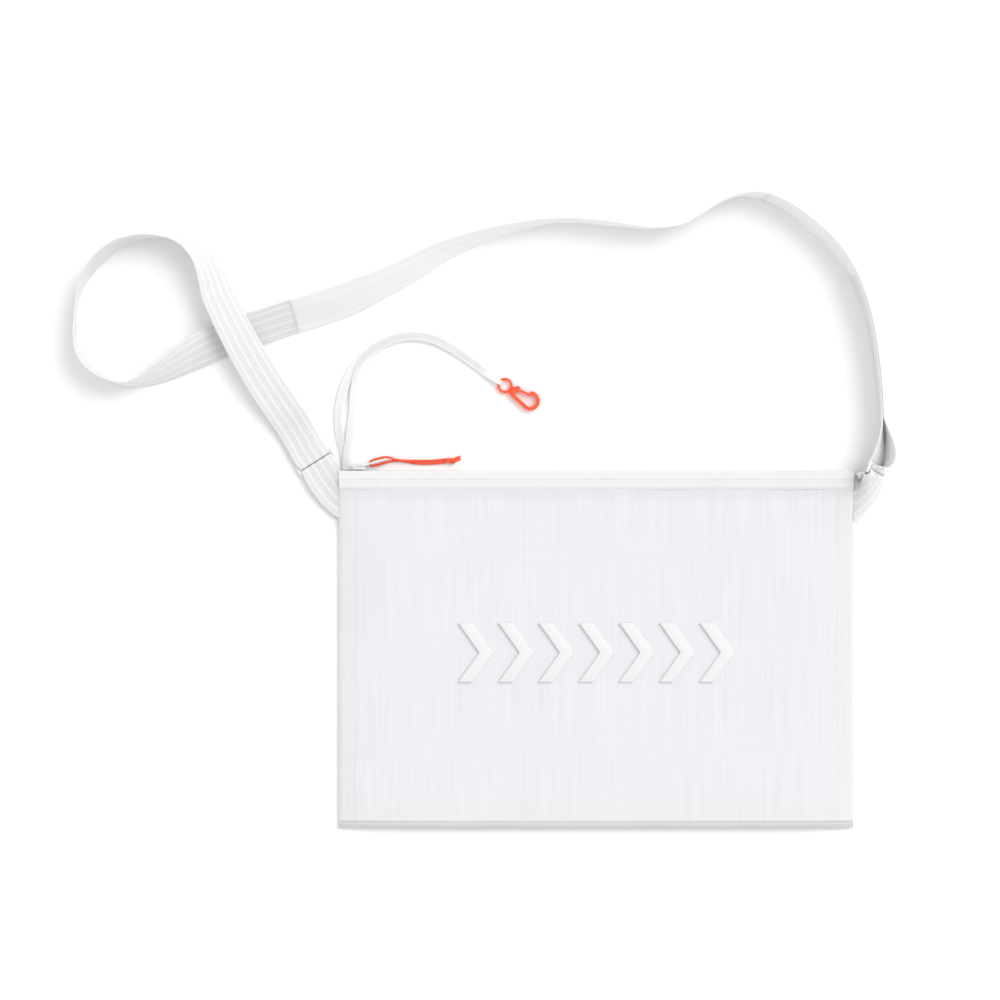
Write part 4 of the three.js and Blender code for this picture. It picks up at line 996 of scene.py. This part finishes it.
def make_coil():
    """The meshed coil: small bent teeth that reach in from both tapes in turn"""
    tooth = bmesh.new()
    bmesh.ops.create_cube(tooth, size=1)
    bmesh.ops.bevel(
        tooth, geom=tooth.edges[:], offset=0.28, affect="EDGES", segments=1, profile=0.5, material=-1
    )
    bmesh.ops.scale(tooth, verts=tooth.verts, vec=TOOTH_SIZE)
    shape = bpy.data.meshes.new("tooth")
    tooth.to_mesh(shape)
    tooth.free()
    start, end = COIL_ENDS
    count = int((end - start) / COIL_PITCH)
    bm = bmesh.new()
    for i in range(count):
        x = start + (i + 0.5) * (end - start) / count
        side = 1 if i % 2 else -1
        known = len(bm.verts)
        bm.from_mesh(shape)
        bm.verts.ensure_lookup_table()
        centre = Vector((x, COIL_Y, ZIP_HEIGHT / 2 + side * 0.5 * MM))
        bmesh.ops.translate(bm, verts=bm.verts[known:], vec=centre)
    bpy.data.meshes.remove(shape)
    made("zip_coil", bm, coil_plastic, "zip_teeth", ["zip_chain"])


def softened(name, node, finish, slot, width, body="bag"):
    """A moulded piece: the solid's own shape with its edges rounded"""
    bm = bmesh.new()
    bm.from_mesh(bpy.data.objects[node].data)
    bmesh.ops.remove_doubles(bm, verts=bm.verts, dist=2e-6)
    bmesh.ops.dissolve_limit(
        bm, angle_limit=math.radians(2), verts=bm.verts, edges=bm.edges, use_dissolve_boundaries=False
    )
    edges = [e for e in bm.edges if len(e.link_faces) == 2 and e.calc_face_angle(0) > math.radians(28)]
    bmesh.ops.bevel(
        bm, geom=edges, offset=width, affect="EDGES", segments=2, profile=0.5, material=-1,
        clamp_overlap=True,
    )
    bmesh.ops.recalc_face_normals(bm, faces=bm.faces)
    return made(name, bm, finish, slot, [node], body)


# Raised chevrons

def make_chevrons():
    for i in range(CHEVRON_COUNT):
        middle = (i - (CHEVRON_COUNT - 1) / 2) * CHEVRON_PITCH
        left = middle - (CHEVRON_POINT + CHEVRON_ARM) / 2
        bm = bmesh.new()
        bmesh.ops.create_grid(bm, x_segments=1, y_segments=2, size=0.5)
        for vert in bm.verts:
            lean = CHEVRON_POINT * (1 - 2 * abs(vert.co.y))
            x = left + (vert.co.x + 0.5) * CHEVRON_ARM + lean
            vert.co = Vector((x, vert.co.y * CHEVRON_HEIGHT - CHEVRON_DROP, CHEVRON_SEAT))
        raised = bmesh.ops.extrude_face_region(bm, geom=bm.faces[:])
        top = [item for item in raised["geom"] if isinstance(item, bmesh.types.BMVert)]
        bmesh.ops.translate(bm, verts=top, vec=UP * CHEVRON_RELIEF)
        bmesh.ops.recalc_face_normals(bm, faces=bm.faces)
        lip = CHEVRON_SEAT + CHEVRON_RELIEF / 2
        rims = [e for e in bm.edges if max(v.co.z for v in e.verts) > lip and e.calc_face_angle(0) > 0.5]
        bmesh.ops.bevel(
            bm, geom=rims, offset=CHEVRON_ROUND, affect="EDGES", segments=3, profile=0.5, material=-1,
            clamp_overlap=True,
        )
        made(f"raised_chevron_{i + 1}", bm, print_white, "raised_print", [f"chevron_{i + 1}"])


# Strap, rings and anchors

def ring_frame(place, degrees, tilt):
    along = heading(degrees)
    across = across_of(along, tilt)
    centre = on_pouch(place[0], place[1], place[2] * STRAP_WIDTH)
    return {"along": along, "across": across, "outward": along.cross(across), "centre": centre}


left_ring = ring_frame(LEFT_RING_PLACE, LEFT_RING_HEADING, 0)
right_ring = ring_frame(RIGHT_RING_PLACE, RIGHT_RING_HEADING, RIGHT_RING_TILT)
left_bar = left_ring["centre"] + left_ring["along"] * BAR_SPACING / 2
right_bar = right_ring["centre"] - right_ring["along"] * BAR_SPACING / 2


def strap_rows():
    rows = LEFT_ROUTE + PLAIN_ROUTE + RIGHT_ROUTE
    points = []
    for x, y, tilt, lift in rows:
        angle = math.radians(tilt)
        standing = STRAP_WIDTH / 2 * math.sin(angle) + STRAP_THICKNESS / 2 * abs(math.cos(angle))
        points.append(on_pouch(x, y, standing + lift * STRAP_WIDTH))
    start = left_bar + left_ring["outward"] * FOLD_RADIUS
    end = right_bar - right_ring["outward"] * FOLD_RADIUS
    lead = 6 * MM
    points = [start, start + left_ring["along"] * lead, *points, end - right_ring["along"] * lead, end]
    tilts = [0, 0, *[row[2] for row in rows], RIGHT_RING_TILT, RIGHT_RING_TILT]
    return points, tilts


strap_points, strap_tilts = strap_rows()
strap_line = Line(strap_points)


def strap_station(distance, layer=0.0):
    share = strap_line.share(distance)
    tangent = strap_line.tangent(distance)
    if distance <= 0:
        tangent = left_ring["along"].copy()
    if distance >= strap_line.length:
        tangent = right_ring["along"].copy()
    tilt = through([Vector((value, 0, 0)) for value in strap_tilts], share).x
    flat = Vector((tangent.x, tangent.y, 0)).normalized()
    across = across_of(flat, tilt)
    across = (across - tangent * across.dot(tangent)).normalized()
    return Station(strap_line.point(distance), across, tangent, layer=layer)


def spots_between(start, end):
    count = max(2, round(abs(end - start) / STATION_STEP))
    return [mix(start, end, i / count) for i in range(count + 1)]


def stations_between(start, end, layer=lambda distance: 0.0):
    return [strap_station(spot, layer(spot)) for spot in spots_between(start, end)]


def tail_stations(start, end, side, from_ring):
    """The folded-back tail: wide apart from the strap at the ring's bar and close to it further on"""
    tail = []
    for distance in spots_between(start, end):
        station = strap_station(distance)
        apart = mix(2 * FOLD_RADIUS, LAYERS_APART, smooth(from_ring(distance) / TAIL_CLOSING))
        point = station.point + station.normal * side * apart
        tail.append(Station(point, station.across, -station.tangent, layer=1.0))
    return tail


def fold_stations(centre, radius, beyond, side, start, end, across, factor=1.0):
    """Half a turn round a bar"""
    fold = []
    for i in range(1, FOLD_STEPS):
        angle = mix(start, end, i / FOLD_STEPS)
        point = centre + beyond * radius * math.cos(angle) + side * radius * math.sin(angle)
        tangent = side * math.cos(angle) - beyond * math.sin(angle)
        fold.append(Station(point, across, tangent * math.copysign(1, end - start), factor, 1.0))
    return fold


def row_distance(index):
    return strap_line.runs[round(index / (len(strap_points) - 1) * (len(strap_line.runs) - 1))]


FIRST_JOIN = row_distance(2 + len(LEFT_ROUTE))
SECOND_JOIN = row_distance(2 + len(LEFT_ROUTE) + len(PLAIN_ROUTE))
QUARTER = math.pi / 2


def cross_stitches(bm, station, face=1, spread=0.86):
    """A sewn line across the ribbed face of a band"""
    count = int(STRAP_WIDTH * spread / STITCH_PITCH)
    for i in range(count):
        w = ((i + 0.5) / count - 0.5) * STRAP_WIDTH * spread
        height = STRAP_BASE / 2 + RIB_CREST * rib_share(w)
        spot = station.point + station.across * w + station.normal * face * height
        stitch(bm, spot, station.across, station.normal * face)


def loop_bulge(station, ring_end):
    """The outer layer swells away from the tail on its way to the right ring, and leans open"""
    from_ring = min((station.point - ring_end).length, LOOP_REACH)
    share = math.sin(math.pi * math.sqrt(from_ring / LOOP_REACH))
    point = station.point - station.normal * LOOP_BULGE * share
    across = station.across.lerp(UP - station.normal * LOOP_LEAN, share)
    across = (across - station.tangent * across.dot(station.tangent)).normalized()
    return Station(point, across, station.tangent, station.factor, station.layer)


def make_straps():
    plain = band_section(STRAP_WIDTH, PLAIN_THICKNESS, columns=30)

    # The left elastic's single run beyond its doubled part is marked 0, for the darker painted shade.
    def doubled(distance):
        return 1 - smooth((distance - TAIL_LENGTH) / (2 * MM))

    ribbed = band_section(STRAP_WIDTH, STRAP_BASE, columns=60, over=RIB_CREST)
    tail = tail_stations(TAIL_LENGTH, 0, -1, lambda distance: distance)
    fold = fold_stations(
        left_bar, FOLD_RADIUS, -left_ring["along"], left_ring["outward"], -QUARTER, QUARTER,
        left_ring["across"],
    )
    main = stations_between(0, FIRST_JOIN, layer=doubled)
    bm = band_mesh(ribbed, tail + fold + main, rib_share)
    sewing = bmesh.new()
    cross_stitches(sewing, tail[2])
    for distance in SEWN_LINES:
        cross_stitches(sewing, strap_station(distance))
    made("elastic_left", bm, elastic, "ribbed_elastic", ["strap_left"])

    bm = band_mesh(plain, stations_between(FIRST_JOIN + JOIN_GAP, SECOND_JOIN - JOIN_GAP))
    for distance in (FIRST_JOIN + 2 * MM, SECOND_JOIN - 2 * MM):
        for face in (1, -1):
            cross_stitches(sewing, strap_station(distance), face)
    made("webbing_middle", bm, webbing, "plain_webbing", ["strap_middle"])

    length = strap_line.length
    ribbed = band_section(STRAP_WIDTH, STRAP_BASE, columns=60, under=RIB_CREST)
    # The right elastic is marked 1 all along, so its single run takes the lighter tone: painted light on its shaded
    # faces.
    main = stations_between(SECOND_JOIN, length, layer=lambda distance: 1.0)
    main = [loop_bulge(station, main[-1].point) for station in main]
    fold = fold_stations(
        right_bar, FOLD_RADIUS, right_ring["along"], right_ring["outward"], -QUARTER, QUARTER,
        right_ring["across"],
    )
    tail = tail_stations(length, length - TAIL_LENGTH, 1, lambda distance: length - distance)
    bm = band_mesh(ribbed, main + fold + tail, rib_share)
    cross_stitches(sewing, tail[-3], -1)
    for distance in SEWN_LINES:
        cross_stitches(sewing, strap_station(length - distance), -1)
    made("elastic_right", bm, elastic, "ribbed_elastic", ["strap_right"])
    made("strap_stitching", sewing, thread, "plain_webbing")


def make_anchor(name, node, ring, towards, seam):
    """Webbing folded round the ring's other bar, both layers turning flat on their way into the seam"""
    bar = ring["centre"] + towards * BAR_SPACING / 2

    def layer_stations(side, seam_z):
        start = bar + ring["outward"] * side * FOLD_RADIUS
        seam_z += max(0, -seam["across"].z) * seam["width"]
        end = Vector((seam["x"], seam["y"], seam_z))
        reach = (start - end).length * ANCHOR_REACH
        leaving, arriving = start + towards * reach, end - seam["inward"] * reach
        start_edge = start.z - STRAP_WIDTH / 2 * ring["across"].z
        layer = []
        for i in range(25):
            t = i / 24
            rest = 1 - t
            point = start * rest ** 3 + leaving * 3 * t * rest ** 2 + arriving * 3 * t ** 2 * rest
            point += end * t ** 3
            way = (leaving - start) * rest ** 2 + (arriving - leaving) * 2 * t * rest
            way += (end - arriving) * t ** 2
            across = ring["across"].lerp(seam["across"], smooth(t)).normalized()
            factor = mix(1, seam["width"] / STRAP_WIDTH, smooth(t))
            point.z = mix(start_edge, seam_z, smooth(t)) + STRAP_WIDTH / 2 * factor * across.z
            layer.append(Station(point, across, way.normalized(), factor, 1.0))
        return layer

    low, high = ANCHOR_SEAT
    upper = [turned_back(station) for station in layer_stations(seam["upper"], high)[::-1]]
    lower = layer_stations(-seam["upper"], low)
    turn = seam["upper"] * QUARTER
    fold = fold_stations(bar, FOLD_RADIUS, -towards, ring["outward"], turn, -turn, ring["across"])
    ribbed = band_section(STRAP_WIDTH, STRAP_BASE, columns=60, over=RIB_CREST)
    bm = band_mesh(ribbed, upper + fold + lower, rib_share)
    made(name, bm, elastic, "ribbed_elastic", [node])
    sewing = bmesh.new()
    for station in (upper[2], upper[5]):
        cross_stitches(sewing, station, spread=1.05)
    made(f"{name}_stitching", sewing, thread, "ribbed_elastic")


def make_ring(name, node, ring):
    """A rectangular loop of round rod with rounded corners"""
    half_long, half_short, corner = RING_WIDTH / 2 - RING_ROD / 2, BAR_SPACING / 2, 1.1 * MM
    path = []
    for sx, sy, first in ((1, 1, 0), (-1, 1, 90), (-1, -1, 180), (1, -1, 270)):
        centre = Vector((sx * (half_long - corner), sy * (half_short - corner), 0))
        for step in range(5):
            angle = math.radians(first + 90 * step / 4)
            path.append(centre + Vector((corner * math.cos(angle), corner * math.sin(angle), 0)))
    turn = Matrix((ring["across"], -ring["along"], ring["outward"])).transposed()
    stations = []
    for i, point in enumerate(path):
        way = (path[(i + 1) % len(path)] - path[i - 1]).normalized()
        side = Vector((way.y, -way.x, 0))
        stations.append(Station(ring["centre"] + turn @ point, turn @ side, turn @ way))
    stations.append(stations[0])
    section = round_section(RING_ROD, 16)
    bm = bmesh.new()
    sides, rows = len(section), len(stations) - 1
    bmesh.ops.create_grid(bm, x_segments=sides, y_segments=rows, size=0.5)
    for vert in bm.verts:
        station = stations[round((vert.co.y + 0.5) * rows)]
        w, t = section[round((vert.co.x + 0.5) * sides) % sides]
        vert.co = station.point + station.across * w + station.normal * t
    bmesh.ops.remove_doubles(bm, verts=bm.verts, dist=1e-7)
    bmesh.ops.recalc_face_normals(bm, faces=bm.faces)
    made(name, bm, ring_plastic, "ring_plastic", [node])


# Key leash

def make_leash():
    axis = heading(CLIP_HEADING)
    fold_radius = EYE_ROD / 2 + 2 * GAP + LEASH_THICKNESS / 2
    eye = CLIP_CENTRE - axis * EYE_RADIUS
    points = [on_pouch(x, y) for x, y, spread in LEASH_ROUTE]
    points[0].y = TOP_EDGE + GAP
    points += [Vector((eye.x, eye.y, 0)) - axis * 4 * MM, Vector((eye.x, eye.y, 0))]
    spreads = [Vector((spread, 0, 0)) for x, y, spread in LEASH_ROUTE] + [Vector((0, 0, 0))] * 2
    line = Line(points)
    count = round(line.length / (2.5 * MM))

    def strand(side):
        stations = []
        for i in range(count + 1):
            run = i / count
            tangent = line.tangent(run * line.length)
            if i == 0:
                tangent = AHEAD.copy()
            if i == count:
                tangent = axis.copy()
            across = across_of(tangent, 0)
            near = smooth((run - 0.9) / 0.1)
            apart = mix(LEASH_LAYER / 2, fold_radius, near)
            middle = mix(LEASH_THICKNESS / 2 + LEASH_LAYER / 2 + GAP / 3, CLIP_CENTRE.z, near)
            spread = max(0, through(spreads, line.share(run * line.length)).x) * LEASH_WIDTH
            point = line.point(run * line.length) - across * side * spread
            point.z = middle + side * apart + LEASH_ARCH * math.sin(math.pi * run) ** 2
            stations.append(Station(point, across, tangent, mix(1, LEASH_GATHER, near)))
        return stations

    over = strand(1)
    under = [turned_back(station) for station in strand(-1)[::-1]]
    fold = fold_stations(eye, fold_radius, axis, UP, QUARTER, -QUARTER, across_of(axis, 0), LEASH_GATHER)
    bm = band_mesh(band_section(LEASH_WIDTH, LEASH_THICKNESS, columns=12), over + fold + under)
    made("leash_tape", bm, leash_webbing, "plain_webbing", ["key_leash"])


make_front()
make_back()
make_gusset()
make_seams()
make_hem()
make_zip()
make_coil()
softened("slider_body", "zip_slider", enamel, "enamel", 0.18 * MM)
softened("slider_pull", "zip_puller", enamel, "enamel", 0.25 * MM)
make_chevrons()
make_straps()
make_anchor("anchor_fold_left", "anchor_left", left_ring, -left_ring["along"], {
    "x": -HALF_WIDTH - JOIN_GAP, "y": ANCHOR_LEFT_Y * POUCH_HEIGHT, "width": ANCHOR_LEFT_SEAM,
    "inward": RIGHT, "across": -AHEAD - ANCHOR_RISE, "upper": 1,
})
make_anchor("anchor_fold_right", "anchor_right", right_ring, right_ring["along"], {
    "x": HALF_WIDTH + JOIN_GAP, "y": ANCHOR_RIGHT_Y * POUCH_HEIGHT, "width": ANCHOR_RIGHT_SEAM,
    "inward": -RIGHT, "across": AHEAD + ANCHOR_RISE, "upper": -1,
})
make_ring("strap_ring_left", "ring_left", left_ring)
make_ring("strap_ring_right", "ring_right", right_ring)
make_leash()
softened("snap_clip", "clip_body", orange_plastic, "orange_plastic", 0.35 * MM)
softened("snap_gate", "clip_gate", orange_plastic, "orange_plastic", 0.3 * MM, body="gate")


# Floor and light

def make_studio():
    bm = bmesh.new()
    bmesh.ops.create_grid(bm, x_segments=1, y_segments=1, size=6)
    mesh = bpy.data.meshes.new("floor")
    bm.to_mesh(mesh)
    bm.free()
    floor = bpy.data.objects.new("floor", mesh)
    bpy.context.scene.collection.objects.link(floor)
    paper = Finish("paper", (0.95, 0.95, 0.95), 0.9)
    mesh.materials.append(paper.material)
    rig.stage(floor)

    world = bpy.data.worlds.new("studio")
    world.use_nodes = True
    world.node_tree.nodes["Background"].inputs["Color"].default_value = (1, 1, 1, 1)
    world.node_tree.nodes["Background"].inputs["Strength"].default_value = 0.85
    bpy.context.scene.world = world

    key = bpy.data.lights.new("key", "SUN")
    key.angle = math.radians(36)
    key.energy = 1.4
    lamp = bpy.data.objects.new("key", key)
    lamp.rotation_euler = Vector((-1.2, -1.0, -1.86)).to_track_quat("-Z", "Y").to_euler()
    bpy.context.scene.collection.objects.link(lamp)
    bpy.context.scene.view_settings.view_transform = "Standard"


make_studio()

with open("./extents.json", "w") as sizes:
    json.dump({"cad": cad_box, "visual": [list(corner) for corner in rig.bounds()]}, sizes)
